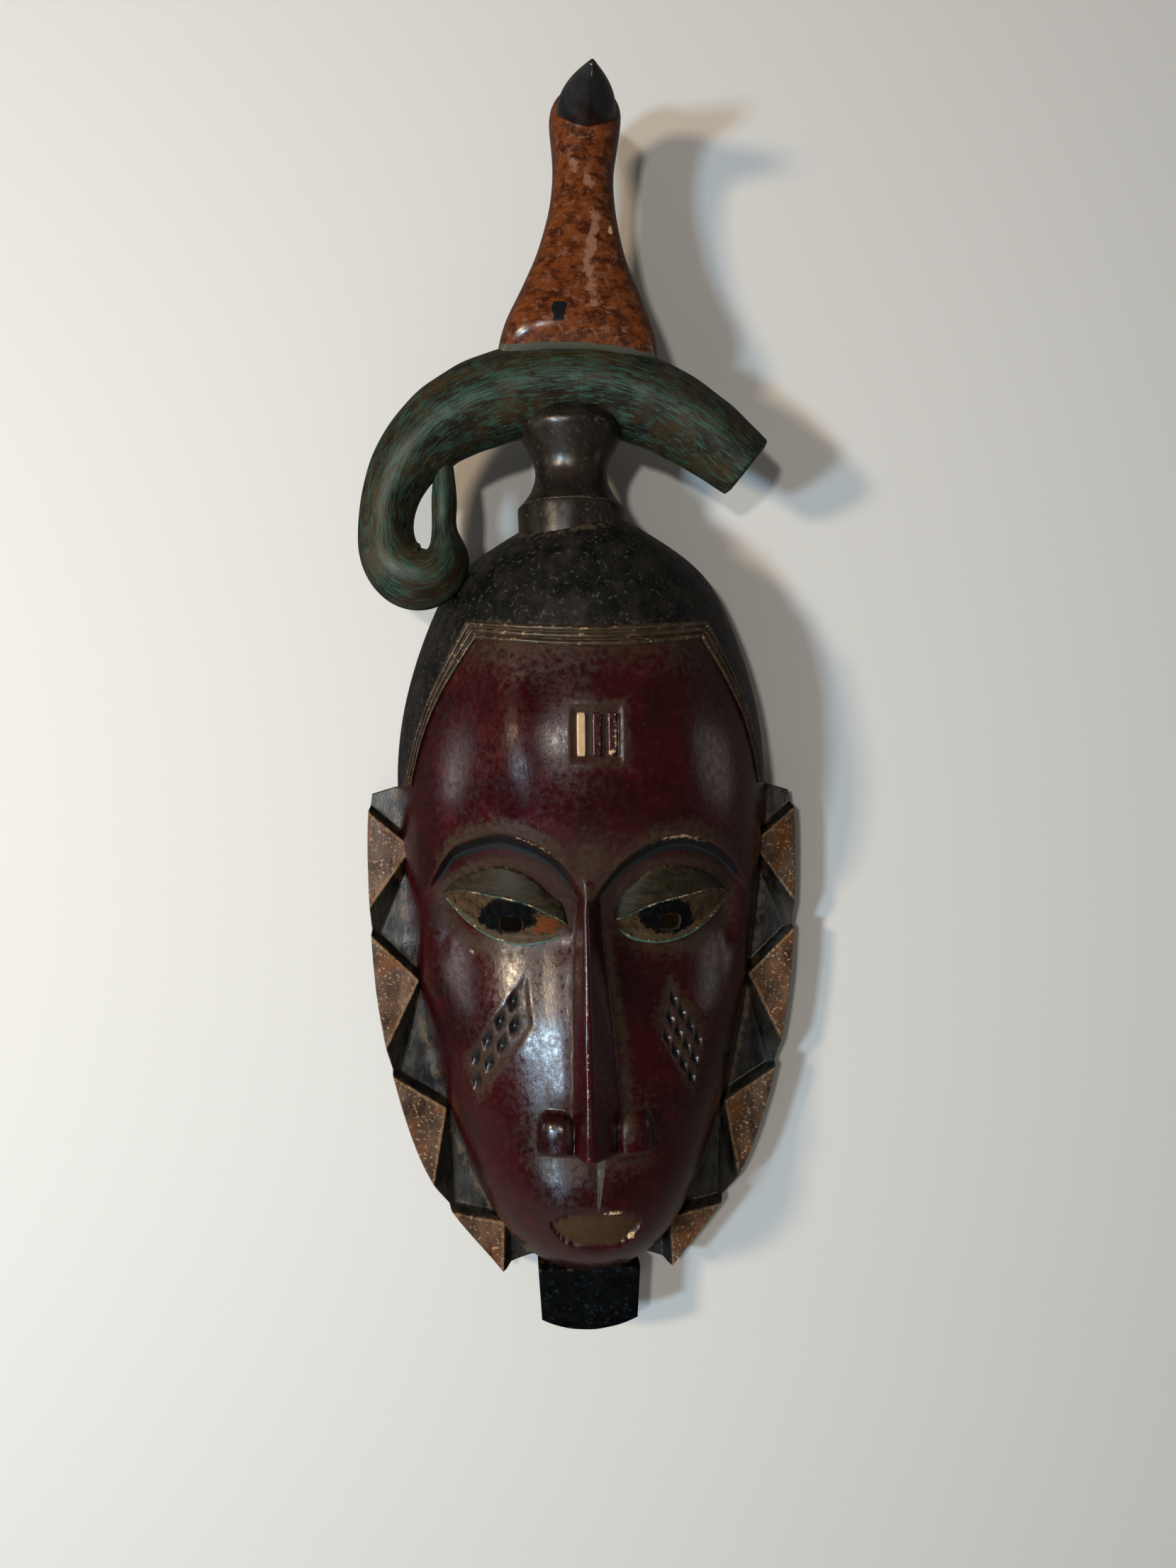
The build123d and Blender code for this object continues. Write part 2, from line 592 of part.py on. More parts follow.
# ---- Chin post ---------------------------------------------------------------------------------
def chin_post(bore):
    """A tapered block under the chin with a rounded foot."""
    top, foot = CHIN_POST_TOP_WIDTH / 2, CHIN_POST_FOOT_WIDTH / 2
    corner_z = FOOT_Z + CHIN_POST_FOOT_CURVE
    edges = [
        Polyline((-foot, 0, corner_z), (-top, 0, CHIN_Z), (top, 0, CHIN_Z), (foot, 0, corner_z)),
        ThreePointArc((foot, 0, corner_z), (0, 0, FOOT_Z), (-foot, 0, corner_z)),
    ]
    return extrude(make_face(edges), amount=CHIN_POST_DEPTH, dir=(0, -1, 0)) - bore


# ---- Crest -------------------------------------------------------------------------------------
def crest_post(horn, bore):
    """A turned spool, scribed to the crown below and to the horn above."""
    low, ring = -CREST_BASE_SINK, CREST_BASE_RING
    edges = [
        Polyline((0, 0, low), (CREST_BASE_RADIUS, 0, low), (CREST_BASE_RADIUS, 0, ring)),
        Line((CREST_BASE_RADIUS, 0, ring), (CREST_BASE_RADIUS - CREST_NECKING, 0, ring)),
        ThreePointArc(
            (CREST_BASE_RADIUS - CREST_NECKING, 0, ring),
            (CREST_WAIST_RADIUS, 0, CREST_WAIST_RISE),
            (CREST_RIM_RADIUS, 0, CREST_RIM_RISE),
        ),
        Polyline(
            (CREST_RIM_RADIUS, 0, CREST_RIM_RISE),
            (CREST_RIM_RADIUS, 0, CREST_RIM_RISE + CREST_RIM_HEIGHT),
            (CREST_SEAT_RADIUS, 0, CREST_SEAT_RISE),
            (0, 0, CREST_SEAT_RISE),
            (0, 0, low),
        ),
    ]
    spool = at(CREST_X, CREST_DEPTH, HEAD_TOP_Z) * revolve(make_face(edges), axis=Axis.Z)
    return spool - head_form() - horn - bore


def oval(half_width, half_height, squareness):
    """A squarish oval about the origin."""
    points = []
    for step in range(SECTION_STEPS):
        angle = 2 * math.pi * step / SECTION_STEPS
        across, along = math.cos(angle), math.sin(angle)
        points.append((
            half_width * math.copysign(abs(across) ** (2 / squareness), across),
            half_height * math.copysign(abs(along) ** (2 / squareness), along),
        ))
    return make_face(Spline(*points, periodic=True))


def horn_spine():
    """Middle points and thicknesses of the horn, from the blunt end to the tip of the curl."""
    spine = list(HORN_ARCH)
    for step, thickness in enumerate(CURL_THICKNESSES):
        angle = math.pi * (1 + step / (len(CURL_THICKNESSES) - 1))
        reach = CURL_HOLE_RADIUS + thickness / 2
        x = CURL_CENTRE_X + reach * math.cos(angle)
        spine.append((x, CURL_CENTRE_RISE + reach * math.sin(angle), thickness))
    for rise, thickness in zip(CURL_TIP_RISES, CURL_TIP_THICKNESSES):
        spine.append((CURL_TIP_X, rise, thickness))
    return spine


def curled_horn():
    """Rounded square sections, set on edge, carried along the spine from the blunt end."""
    spine = horn_spine()
    path = Spline(*[(x, -HORN_DEPTH, HEAD_TOP_Z + rise) for x, rise, _ in spine])
    sections = []
    for x, rise, thickness in spine:
        centre = Vector(x, -HORN_DEPTH, HEAD_TOP_Z + rise)
        tangent = path.tangent_at(path.param_at_point(centre))
        # On edge, the oval measures the thickness from corner to corner.
        half_side = thickness / 2 * 2 ** (1 / HORN_SQUARENESS) / math.sqrt(2)
        square = Rot(Z=45) * oval(half_side, half_side, HORN_SQUARENESS)
        sections.append(Plane(origin=centre, x_dir=(0, -1, 0), z_dir=tangent) * square)
    return loft(sections)


# ---- Bird --------------------------------------------------------------------------------------
def bird_body(horn, bore):
    """Neck and breast as one tapering form, scribed to the horn's top."""
    sections = []
    for rise, half, half_depth in BIRD_STATIONS:
        x = BIRD_FOOT_X + (BIRD_HEAD_X - BIRD_FOOT_X) * rise / BIRD_HEAD_RISE
        sections.append(at(x, HORN_DEPTH, HORN_TOP_Z + rise) * oval(half, half_depth, BIRD_SQUARENESS))
    return loft(sections) - horn - bore


def bird_beak(body):
    """A pointed beak looking straight forwards, scribed to the head."""
    root_depth = HORN_DEPTH + BIRD_HEAD_HALF_DEPTH - BEAK_SEAT
    whole = BEAK_SEAT + BEAK_LENGTH
    reaches = (
        (0, 0, BEAK_ROOT_HALF, BEAK_ROOT_HALF_HEIGHT),
        (whole * BEAK_MIDDLE_SHARE, BEAK_MIDDLE_DROP, BEAK_MIDDLE_HALF, BEAK_MIDDLE_HALF_HEIGHT),
        (whole, BEAK_TIP_DROP, BEAK_TIP_HALF, BEAK_TIP_HALF_HEIGHT),
    )
    sections = []
    for reach, drop, half, half_height in reaches:
        slice_face = Plane.XZ * oval(half, half_height, BEAK_SQUARENESS)
        sections.append(at(BIRD_HEAD_X, root_depth + reach, BEAK_Z - drop) * slice_face)
    return loft(sections) - body


# ---- Dowels ------------------------------------------------------------------------------------
def upright(x, depth, low, high, radius):
    """A round rod standing between two heights."""
    return at(x, depth, (low + high) / 2) * Cylinder(radius, high - low)


def crest_dowel(gap=0.0):
    """Joins cap, post and horn."""
    low, high = HEAD_TOP_Z - CREST_DOWEL_SINK, HEAD_TOP_Z + CREST_DOWEL_REACH
    return upright(CREST_X, CREST_DEPTH, low, high + gap, DOWEL_RADIUS + gap)


def bird_dowel(gap=0.0):
    """Joins horn and bird."""
    low, high = HORN_TOP_Z - BIRD_DOWEL_SINK, HORN_TOP_Z + BIRD_DOWEL_REACH
    return upright(BIRD_FOOT_X, HORN_DEPTH, low - gap, high + gap, DOWEL_RADIUS + gap)


def chin_dowel(gap=0.0):
    """Joins chin and chin post."""
    low, high = CHIN_Z - CHIN_DOWEL_SINK, CHIN_Z + CHIN_DOWEL_REACH
    return upright(0, CHIN_DOWEL_DEPTH, low - gap, high + gap, DOWEL_RADIUS + gap)


def flange_pegs(side, gap=0.0):
    """Two pegs across the joint of face and flange on one side."""
    peg = Rot(Y=90) * Cylinder(PEG_RADIUS + gap, 2 * (FLANGE_PEG_HALF_LENGTH + gap))
    seats = ((EYE_HALF, EYE_Z), (NOSE_HALF, NOSE_Z))
    return [at(side * half, FLANGE_PEG_DEPTH, z) * peg for half, z in seats]


# ---- Assembly ----------------------------------------------------------------------------------
def build():
    """All the members by node name; left and right are the viewer's."""
    flange = flange_blank()
    horn = curled_horn()
    body = bird_body(horn, bird_dowel(GLUE_GAP))
    return {
        "face_shell": face_shell(),
        "skull_cap": skull_cap(),
        "hairline_band": hairline_band(),
        "forehead_bars": Compound(children=forehead_bars()),
        "left_side_flange": mirrored(flange) - head_form() - flange_pegs(-1, GLUE_GAP),
        "right_side_flange": flange - head_form() - flange_pegs(1, GLUE_GAP),
        "chin_post": chin_post(chin_dowel(GLUE_GAP)),
        "crest_post": crest_post(horn, crest_dowel(GLUE_GAP)),
        "curled_horn": horn - head_form() - crest_dowel(GLUE_GAP) - bird_dowel(GLUE_GAP),
        "bird_body": body,
        "bird_beak": bird_beak(body),
        "crest_dowel": crest_dowel(),
        "bird_dowel": bird_dowel(),
        "chin_dowel": chin_dowel(),
        "flange_pegs": Compound(children=flange_pegs(1) + flange_pegs(-1)),
    }


for node, shape in build().items():
    export_step(shape, f"parts/{node}.step")
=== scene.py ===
import math

import bmesh
import bpy
import numpy as np
from mathutils import Matrix, Vector


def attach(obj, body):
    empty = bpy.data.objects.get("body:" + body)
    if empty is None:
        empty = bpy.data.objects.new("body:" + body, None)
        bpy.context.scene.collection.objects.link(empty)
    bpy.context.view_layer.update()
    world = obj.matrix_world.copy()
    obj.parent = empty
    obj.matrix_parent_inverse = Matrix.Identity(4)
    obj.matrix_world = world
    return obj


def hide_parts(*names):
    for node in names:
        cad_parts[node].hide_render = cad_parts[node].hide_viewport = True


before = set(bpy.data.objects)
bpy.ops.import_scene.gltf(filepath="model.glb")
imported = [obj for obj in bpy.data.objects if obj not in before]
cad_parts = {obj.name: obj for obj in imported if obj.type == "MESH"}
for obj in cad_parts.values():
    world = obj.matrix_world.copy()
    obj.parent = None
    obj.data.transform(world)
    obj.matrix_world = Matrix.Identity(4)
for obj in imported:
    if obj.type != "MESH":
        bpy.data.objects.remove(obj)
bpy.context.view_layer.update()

# A carved wall mask. Shapes are worked out in millimetres in the CAD frame: x to the viewer's
# right, z up, "depth" in front of the wall plane, so y is minus the depth.
MM = 0.001


# ---- Numbers along curves ----------------------------------------------------------------------
def ease(value, start, end):
    """0 at start, 1 at end and a smooth S between them; start may be the larger."""
    share = np.clip((value - start) / (end - start), 0, 1)
    return share * share * (3 - 2 * share)


def higher(first, second, width):
    """The larger of two heights, rounded over a width where they cross."""
    share = np.clip(0.5 + (first - second) / (2 * width), 0, 1)
    return second + (first - second) * share + width * share * (1 - share)


def hump(value, centre, reach):
    """A bell: 1 at the centre and falling off over the reach."""
    return np.exp(-((value - centre) / reach) ** 2)


def smooth_curve(places, values):
    """Natural cubic spline through values at rising places; gives a function of the place."""
    x, y = np.asarray(places, float), np.asarray(values, float)
    y = y.reshape(len(x), -1)
    gap = np.diff(x)
    system = np.eye(len(x))
    bend = np.zeros_like(y)
    inner = np.arange(1, len(x) - 1)
    system[inner, inner - 1] = gap[:-1]
    system[inner, inner] = 2 * (gap[:-1] + gap[1:])
    system[inner, inner + 1] = gap[1:]
    rate = np.diff(y, axis=0) / gap[:, None]
    bend[1:-1] = 6 * np.diff(rate, axis=0)
    bend = np.linalg.solve(system, bend)

    def value_at(place):
        place = np.clip(np.asarray(place, float), x[0], x[-1])
        i = np.clip(np.searchsorted(x, place, side="right") - 1, 0, len(x) - 2)
        h = gap[i][..., None]
        a = ((x[i + 1] - place) / gap[i])[..., None]
        b = 1 - a
        curved = ((a**3 - a) * bend[i] + (b**3 - b) * bend[i + 1]) * h * h / 6
        result = a * y[i] + b * y[i + 1] + curved
        return result[..., 0] if result.shape[-1] == 1 else result

    return value_at


def spaced(stops, steps, multiple):
    """Places from the first stop to the last, with a step for each stretch, and a count of
    intervals that is a multiple of a number."""
    stretches = [
        np.linspace(a, b, max(round(abs(b - a) / step), 1), endpoint=False)
        for a, b, step in zip(stops, stops[1:], steps)
    ]
    places = np.concatenate(stretches + [[stops[-1]]])
    count = multiple * round((len(places) - 1) / multiple)
    return np.interp(np.linspace(0, 1, count + 1), np.linspace(0, 1, len(places)), places)


def hand_cut(across, along, length, seed):
    """Gentle waves left by the knife, seldom past -1 and 1: seven sines in chance directions."""
    chance = np.random.default_rng(seed)
    total = 0
    for _ in range(7):
        turn, phase = chance.uniform(0, 2 * np.pi, 2)
        pace = 2 * np.pi / (length * chance.uniform(0.7, 1.5))
        total = total + np.sin(pace * (across * np.cos(turn) + along * np.sin(turn)) + phase)
    return total / 4


def powered(value, power):
    """A value with its size raised to a power and its sign kept."""
    return np.sign(value) * np.abs(value) ** power


def squarish(angle, squareness):
    """Cosine with its power changed, for ovals that are squarer than a circle."""
    return powered(np.cos(angle), 2 / squareness)


def around(count):
    """Angles spread evenly round a ring, as one row."""
    return np.linspace(0, 2 * np.pi, count, endpoint=False)[None]


# ---- Meshes ------------------------------------------------------------------------------------
def show(thing):
    """Puts a thing in the scene."""
    bpy.context.scene.collection.objects.link(thing)
    return thing


def piece(name, points, polygons, marks, node, finish):
    """One closed piece from points in millimetres and arrays of polygon corners. The winding is
    turned if the enclosed volume comes out negative. Marks are numbers painted on the points."""
    volume = 0.0
    for corners in polygons:
        first = points[corners[:, 0]]
        for k in range(1, corners.shape[1] - 1):
            cross = np.cross(points[corners[:, k]], points[corners[:, k + 1]])
            volume += np.einsum("ij,ij->", first, cross)
    if volume < 0:
        polygons = [corners[:, ::-1] for corners in polygons]
    mesh = bpy.data.meshes.new(name)
    mesh.vertices.add(len(points))
    mesh.vertices.foreach_set("co", (points * MM).ravel())
    sizes = np.concatenate([np.full(len(p), p.shape[1]) for p in polygons])
    corners = np.concatenate([p.ravel() for p in polygons])
    mesh.loops.add(len(corners))
    mesh.loops.foreach_set("vertex_index", corners)
    mesh.polygons.add(len(sizes))
    mesh.polygons.foreach_set("loop_start", np.cumsum(sizes) - sizes)
    mesh.update(calc_edges=True)
    for mark, values in marks.items():
        layer = mesh.attributes.new(mark, "FLOAT", "POINT")
        layer.data.foreach_set("value", np.clip(values, 0, 1).ravel().astype(np.float32))
    weld(mesh)
    mesh.polygons.foreach_set("use_smooth", np.ones(len(mesh.polygons), bool))
    mesh.materials.append(finish)
    thing = show(bpy.data.objects.new(name, mesh))
    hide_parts(node)
    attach(thing, "root")
    return thing


def weld(mesh):
    """Joins points that fall together, at poles and tips, so that the surface is closed."""
    work = bmesh.new()
    work.from_mesh(mesh)
    bmesh.ops.remove_doubles(work, verts=work.verts, dist=2e-6)
    work.to_mesh(mesh)
    work.free()


def quads(index):
    """The quads between neighbours of a grid of point numbers."""
    return np.stack([index[:-1, :-1], index[:-1, 1:], index[1:, 1:], index[1:, :-1]], -1).reshape(-1, 4)


def shell(outer, inner):
    """A fine outer grid and a coarse inner grid of the same outline, closed by a rim. Each rim
    polygon takes one edge of the inner grid and the run of outer edges that faces it."""
    step = (outer.shape[0] - 1) // (inner.shape[0] - 1)
    far = np.arange(outer.shape[0] * outer.shape[1]).reshape(outer.shape[:2])
    near = far.size + np.arange(inner.shape[0] * inner.shape[1]).reshape(inner.shape[:2])
    polygons = [quads(far), quads(near)[:, ::-1]]
    borders = ((far[0], near[0]), (far[:, -1], near[:, -1]),
               (far[-1, ::-1], near[-1, ::-1]), (far[::-1, 0], near[::-1, 0]))
    for fine, coarse in borders:
        along = np.arange(len(coarse) - 1) * step
        run = fine[along[:, None] + np.arange(step, -1, -1)[None]]
        polygons.append(np.concatenate([run, coarse[:-1, None], coarse[1:, None]], 1))
    return np.concatenate([outer.reshape(-1, 3), inner.reshape(-1, 3)]), polygons


def stacked(rings):
    """Rings of points one after another, joined by quads and closed by a fan at each end."""
    count, around = rings.shape[:2]
    index = np.arange(count * around).reshape(count, around)
    sides = quads(np.concatenate([index, index[:, :1]], 1))
    tips = np.stack([rings[0].mean(0), rings[-1].mean(0)])
    following = np.roll(index, -1, 1)
    low = np.stack([following[0], index[0], np.full(around, index.size)], 1)
    high = np.stack([index[-1], following[-1], np.full(around, index.size + 1)], 1)
    return np.concatenate([rings.reshape(-1, 3), tips]), [sides, low, high]


def place(x, depth, z):
    """Points from their three parts."""
    return np.stack(np.broadcast_arrays(x, -depth, z), -1).astype(float)


def on_rings(marks, rings):
    """Marks spread over stacked rings; each fan tip takes the mean of its ring."""
    spread = {name: np.broadcast_to(values, rings.shape[:2]) for name, values in marks.items()}
    return {name: np.concatenate([v.ravel(), [v[0].mean(), v[-1].mean()]]) for name, v in spread.items()}


def on_shell(marks, outer, inner, bare_inside=1.0):
    """Marks spread over a shell's outer grid; on its inner grid only bare wood is marked."""
    inside = np.ones(inner.shape[0] * inner.shape[1])
    return {name: np.concatenate([np.broadcast_to(values, outer.shape[:2]).ravel(),
                                  inside * (bare_inside if name == "bare" else 0.0)])
            for name, values in marks.items()}


# ---- Finishes ----------------------------------------------------------------------------------
class Finish:
    """A painted wood: its colour is laid on coat by coat, and wear and gloss are node steps too."""

    def __init__(self, name):
        self.material = bpy.data.materials.new(name)
        self.material.use_nodes = True
        self.tree = self.material.node_tree
        self.shader = self.tree.nodes["Principled BSDF"]
        self.spot = self.tree.nodes.new("ShaderNodeTexCoord").outputs["Object"]
        self.colour = None

    def node(self, kind, **sockets):
        made = self.tree.nodes.new(kind)
        for label, value in sockets.items():
            self.feed(made.inputs[label.replace("_", " ")], value)
        return made

    def feed(self, socket, value):
        if isinstance(value, bpy.types.NodeSocket):
            self.tree.links.new(value, socket)
        else:
            socket.default_value = value

    def noise(self, size, stretch=(1, 1, 1), detail=4.0, roughness=0.6, offset=0.0, turn=0.0):
        """Noise with features of a size in millimetres, stretched along the axes."""
        mapping = self.node("ShaderNodeMapping", Vector=self.spot)
        mapping.inputs["Location"].default_value = (offset, offset * 0.7, -offset)
        mapping.inputs["Rotation"].default_value = (0, turn, 0)
        mapping.inputs["Scale"].default_value = tuple(1 / (size * MM * s) for s in stretch)
        made = self.node("ShaderNodeTexNoise", Vector=mapping.outputs[0], Scale=1.0, Detail=detail,
                         Roughness=roughness)
        return made.outputs["Fac"]

    def between(self, value, low, high, start=0.0, end=1.0):
        """The value's stretch from low to high, spread over start to end and held outside."""
        made = self.node("ShaderNodeMapRange", Value=value)
        for label, number in (("From Min", low), ("From Max", high), ("To Min", start), ("To Max", end)):
            self.feed(made.inputs[label], number)
        return made.outputs["Result"]

    def cloud(self, size, low, high, start=0.0, end=1.0, **options):
        """Noise whose stretch from low to high is spread over start to end."""
        return self.between(self.noise(size, **options), low, high, start, end)

    def sums(self, operation, first, second):
        made = self.tree.nodes.new("ShaderNodeMath")
        made.operation = operation
        made.use_clamp = operation != "SUBTRACT"
        self.feed(made.inputs[0], first)
        self.feed(made.inputs[1], second)
        return made.outputs[0]

    def plus(self, first, second):
        return self.sums("ADD", first, second)

    def times(self, first, second):
        return self.sums("MULTIPLY", first, second)

    def mark(self, name):
        made = self.tree.nodes.new("ShaderNodeAttribute")
        made.attribute_name = name
        return made.outputs["Fac"]

    def ragged(self, name, size, share=0.5, offset=0.0, low=0.42, high=0.62):
        """A painted mark whose border is broken up by noise, fading from low to high."""
        broken = self.cloud(size, 0.36, 0.64, -share / 2, share / 2, offset=offset, detail=5.0)
        return self.between(self.plus(self.mark(name), broken), low, high)

    def mix(self, share, first, second):
        made = self.tree.nodes.new("ShaderNodeMix")
        made.data_type = "RGBA"
        self.feed(made.inputs[0], share)
        for socket, colour in ((made.inputs[6], first), (made.inputs[7], second)):
            self.feed(socket, colour if isinstance(colour, bpy.types.NodeSocket) else (*colour, 1))
        return made.outputs[2]

    def lay(self, share, colour):
        """Lays a colour over what is there, as strongly as the share."""
        self.colour = self.mix(share, self.colour, colour)

    def raw_wood(self):
        """Brown unpainted wood with an upright grain, for the inside and the back."""
        return self.mix(self.noise(9, stretch=(1, 1, 5)), RAW_DARK, RAW_LIGHT)

    def done(self, roughness, height, depth_mm, gloss=0.5):
        self.feed(self.shader.inputs["Base Color"], self.colour)
        self.feed(self.shader.inputs["Roughness"], roughness)
        self.feed(self.shader.inputs["Specular IOR Level"], gloss)
        bump = self.node("ShaderNodeBump", Height=height, Strength=1.0, Distance=depth_mm * MM)
        self.feed(self.shader.inputs["Normal"], bump.outputs[0])
        return self.material


DUST = (0.058, 0.041, 0.024)
CREAM = (0.62, 0.43, 0.25)
BLACK = (0.006, 0.007, 0.009)
RAW_DARK, RAW_LIGHT = (0.055, 0.030, 0.014), (0.13, 0.075, 0.036)


def once(name, paint):
    """The finish of a name, painted the first time that it is asked for."""
    return bpy.data.materials.get(name) or paint(Finish(name))


def bare_wood(f):
    """Pale unpainted wood with its grain along the rod, for the hidden dowels and pegs."""
    grain = f.noise(1.4, stretch=(1, 1, 7), detail=6, roughness=0.65)
    f.colour = f.mix(f.between(grain, 0.35, 0.68), (0.30, 0.19, 0.10), (0.55, 0.40, 0.25))
    f.lay(f.cloud(5, 0.55, 0.72, 0, 0.5, offset=2.0), (0.24, 0.14, 0.07))
    return f.done(f.between(grain, 0.3, 0.7, 0.55, 0.8), grain, 0.12)


def rods():
    """The dowels and pegs keep their own solids, in bare wood."""
    wood = once("bare_wood_grain", bare_wood)
    for node in ("crest_dowel", "bird_dowel", "chin_dowel", "flange_pegs"):
        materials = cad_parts[node].data.materials
        materials.clear()
        materials.append(wood)


def oxblood(f):
    """Oxblood lacquer: dust in the hollows, black under the brows, painted shade in the scar pits, bare wood
    where chipped.
    """
    f.colour = f.mix(f.cloud(26, 0.35, 0.7, detail=6), (0.013, 0.0007, 0.0013), (0.034, 0.0014, 0.0026))
    f.lay(f.cloud(13, 0.55, 0.75, 0, 0.7, offset=3.1), (0.052, 0.0030, 0.0040))
    haze = f.cloud(5, 0.60, 0.72, 0, 0.45, stretch=(1, 1, 1.5), offset=7.7, detail=9, roughness=0.75)
    f.lay(haze, (0.042, 0.028, 0.026))
    floor, bare = f.mark("mouth"), f.mark("bare")
    f.lay(floor, f.mix(f.noise(3, offset=2.0), (0.030, 0.016, 0.009), (0.070, 0.038, 0.020)))
    # Black paint under the brows; in the scar pits the same black is painted shade.
    f.lay(f.ragged("black", 2.5), BLACK)
    patches = f.cloud(14, 0.36, 0.56, 0.6, 0.95, offset=6.0)
    dust = f.times(f.ragged("dust", 2.2, 0.42, 5.0, 0.12, 0.80), patches)
    f.lay(dust, f.mix(f.noise(1.2, offset=4.0), (0.026, 0.018, 0.010), (0.070, 0.052, 0.031)))
    f.lay(bare, f.raw_wood())
    f.lay(f.ragged("chip", 1.4, 0.5, offset=1.0), f.mix(f.noise(2.0), CREAM, (0.44, 0.27, 0.14)))
    rough = f.cloud(2.6, 0.34, 0.68, 0.13, 0.38, detail=7, roughness=0.7, offset=9.0)
    rough = f.plus(rough, f.times(dust, 0.30))
    rough = f.plus(rough, f.times(f.plus(bare, floor), 0.4))
    grain = f.noise(2.4, stretch=(1, 1, 1.8), detail=6, roughness=0.62)
    dull = f.sums("MAXIMUM", f.sums("MAXIMUM", dust, floor), f.mark("satin"))
    return f.done(rough, grain, 0.10, f.between(dull, 0, 1, 0.38, 0.06))


def worn_wood(name, dark, light, specks, spot_size=8.0, stretch=(1, 1, 1), rough=(0.35, 0.6), bump=0.3,
              gloss=0.5):
    """A dark painted wood with lighter rubbed patches, specks and dust, and bare wood inside."""
    f = Finish(name)
    f.colour = f.mix(f.cloud(spot_size, 0.42, 0.68, stretch=stretch, detail=8, roughness=0.68), dark, light)
    f.lay(f.cloud(1.6, 0.60, 0.66, stretch=stretch, offset=3.0, detail=4), specks)
    dust, bare = f.ragged("dust", 3.0, 0.5, offset=5.0), f.ragged("bare", 4.0, 0.4, offset=2.0)
    f.lay(f.times(dust, 0.8), DUST)
    f.lay(bare, f.raw_wood())
    roughness = f.cloud(5, 0.3, 0.7, *rough, detail=6, offset=9.0)
    roughness = f.plus(roughness, f.times(f.plus(dust, bare), 0.25))
    return f.done(roughness, f.noise(1.8, stretch=stretch, detail=7, roughness=0.7), bump, gloss)


# ---- The head's form ---------------------------------------------------------------------------
CHIN_Z, JAW_Z, MOUTH_Z, NOSE_Z, CHEEK_Z, EYE_Z = 12.5, 25.5, 44.5, 72.5, 117.5, 157.5
BROW_Z, TEMPLE_Z, CROWN_Z, TOP_Z = 188.5, 206.5, 296.5, 307.5
TEMPLE_HALF, TEMPLE_DEPTH = 76.5, 84.5
WALL, SQUARENESS = 11.0, 2.1
head = smooth_curve(
    (CHIN_Z, JAW_Z, MOUTH_Z, NOSE_Z, CHEEK_Z, EYE_Z, BROW_Z, TEMPLE_Z, 244.5, 276.5, CROWN_Z, TOP_Z),
    ((20.5, 30.0), (33.0, 57.0), (45.0, 71.5), (56.0, 69.5), (67.5, 65.0), (73.0, 71.0), (75.5, 81.5),
     (TEMPLE_HALF, TEMPLE_DEPTH), (72.0, 83.0), (61.0, 76.0), (46.0, 66.0), (28.0, 57.0)))


def ground(x, z):
    """Depth of the head's smooth front: a squarish half oval at each height."""
    half, depth = np.moveaxis(head(z), -1, 0)
    return depth * np.sqrt(np.clip(1 - np.abs(x / half) ** SQUARENESS, 0, 1))


# Middle line of the hairline band: x on each side at a height, and height across the forehead.
BAND_CORNER_X, BAND_CORNER_Z, BAND_SAG = 43.6, 264.0, 4.8
band_side = smooth_curve((TEMPLE_Z, 235.0, BAND_CORNER_Z), (69.6, 60.4, BAND_CORNER_X))


def hairline(share):
    """Height where the hairline cuts a column of the head, for the column's share of the half
    width: the side curve from the temple to the corner, then the sagging line over the brow."""
    heights = np.linspace(BAND_CORNER_Z, TEMPLE_Z, 60)
    crossing = band_side(heights) / head(heights)[:, 0]
    side = np.interp(np.abs(share), crossing, heights)
    across = np.abs(share) / crossing[0]
    top = BAND_CORNER_Z - BAND_SAG * (1 - across**2)
    return np.where(across < 1, top, side)


def columns(even_half, side_weight, count):
    """Angles round the half oval at the temples, evenly spaced over the front and more widely
    round the sides."""
    angle = np.linspace(0, np.pi, 4001)
    x, depth = TEMPLE_HALF * squarish(angle, SQUARENESS), TEMPLE_DEPTH * np.sin(angle)
    middle = np.abs((x[1:] + x[:-1]) / 2)
    length = np.hypot(np.diff(x), np.diff(depth))
    weight = np.where(middle < even_half, np.abs(np.diff(x)) / np.maximum(length, 1e-9), side_weight)
    run = np.concatenate([[0], np.cumsum(length * weight)])
    return np.interp(np.linspace(0, run[-1], count + 1), run, angle)[::-1]


def head_points(angle, z, shrink=0.0):
    """Points of the head's form at angles round the half oval, drawn in by a wall."""
    half, depth = np.moveaxis(head(z), -1, 0)
    return (half - shrink) * squarish(angle, SQUARENESS), (depth - shrink) * np.sin(angle)


# ---- What is carved on the face ----------------------------------------------------------------
brow_line = smooth_curve(
    (-66, -58, -52.7, -44.2, -34.3, -24.7, -17, -11.1, -5.5, -1.2, 3.5, 9.5, 18.4, 31.4, 41.4, 50.2,
     57.8, 66),
    (163, 174.4, 182.0, 186.8, 189, 186.9, 183.1, 177.6, 169.6, 164.5, 170.0, 177.6, 184.0, 187.9, 186,
     181.5, 174.3, 163))
socket_sink = smooth_curve((12, 60, 72, 82, 95, 108, 120, 130, 140, 150, 160, 172, 190, 310),
                           (0, 0, -0.2, -1.3, -1.9, -1.7, -0.2, 2.4, 5.8, 9.2, 9.4, 8.6, 7.0, 7.0))
ridge_depth = smooth_curve((60, 72.5, 92, 120, 150, 168, 178), (84.9, 84.5, 82.8, 80.3, 78.0, 77.0, 77.6))
NOSE_STOPS = (72.5, 92.5, 140.5, 166)
nose_left = smooth_curve(NOSE_STOPS, (-9.0, -7.8, -6.9, -4.6))
nose_right = smooth_curve(NOSE_STOPS, (10.0, 9.2, 5.1, 2.4))
NOSE_RIDGE_X = -3.2
NOSTRILS_X, NOSTRIL_Z, NOSTRIL_HALF = (-14.4, 14.9), 77, 6.6
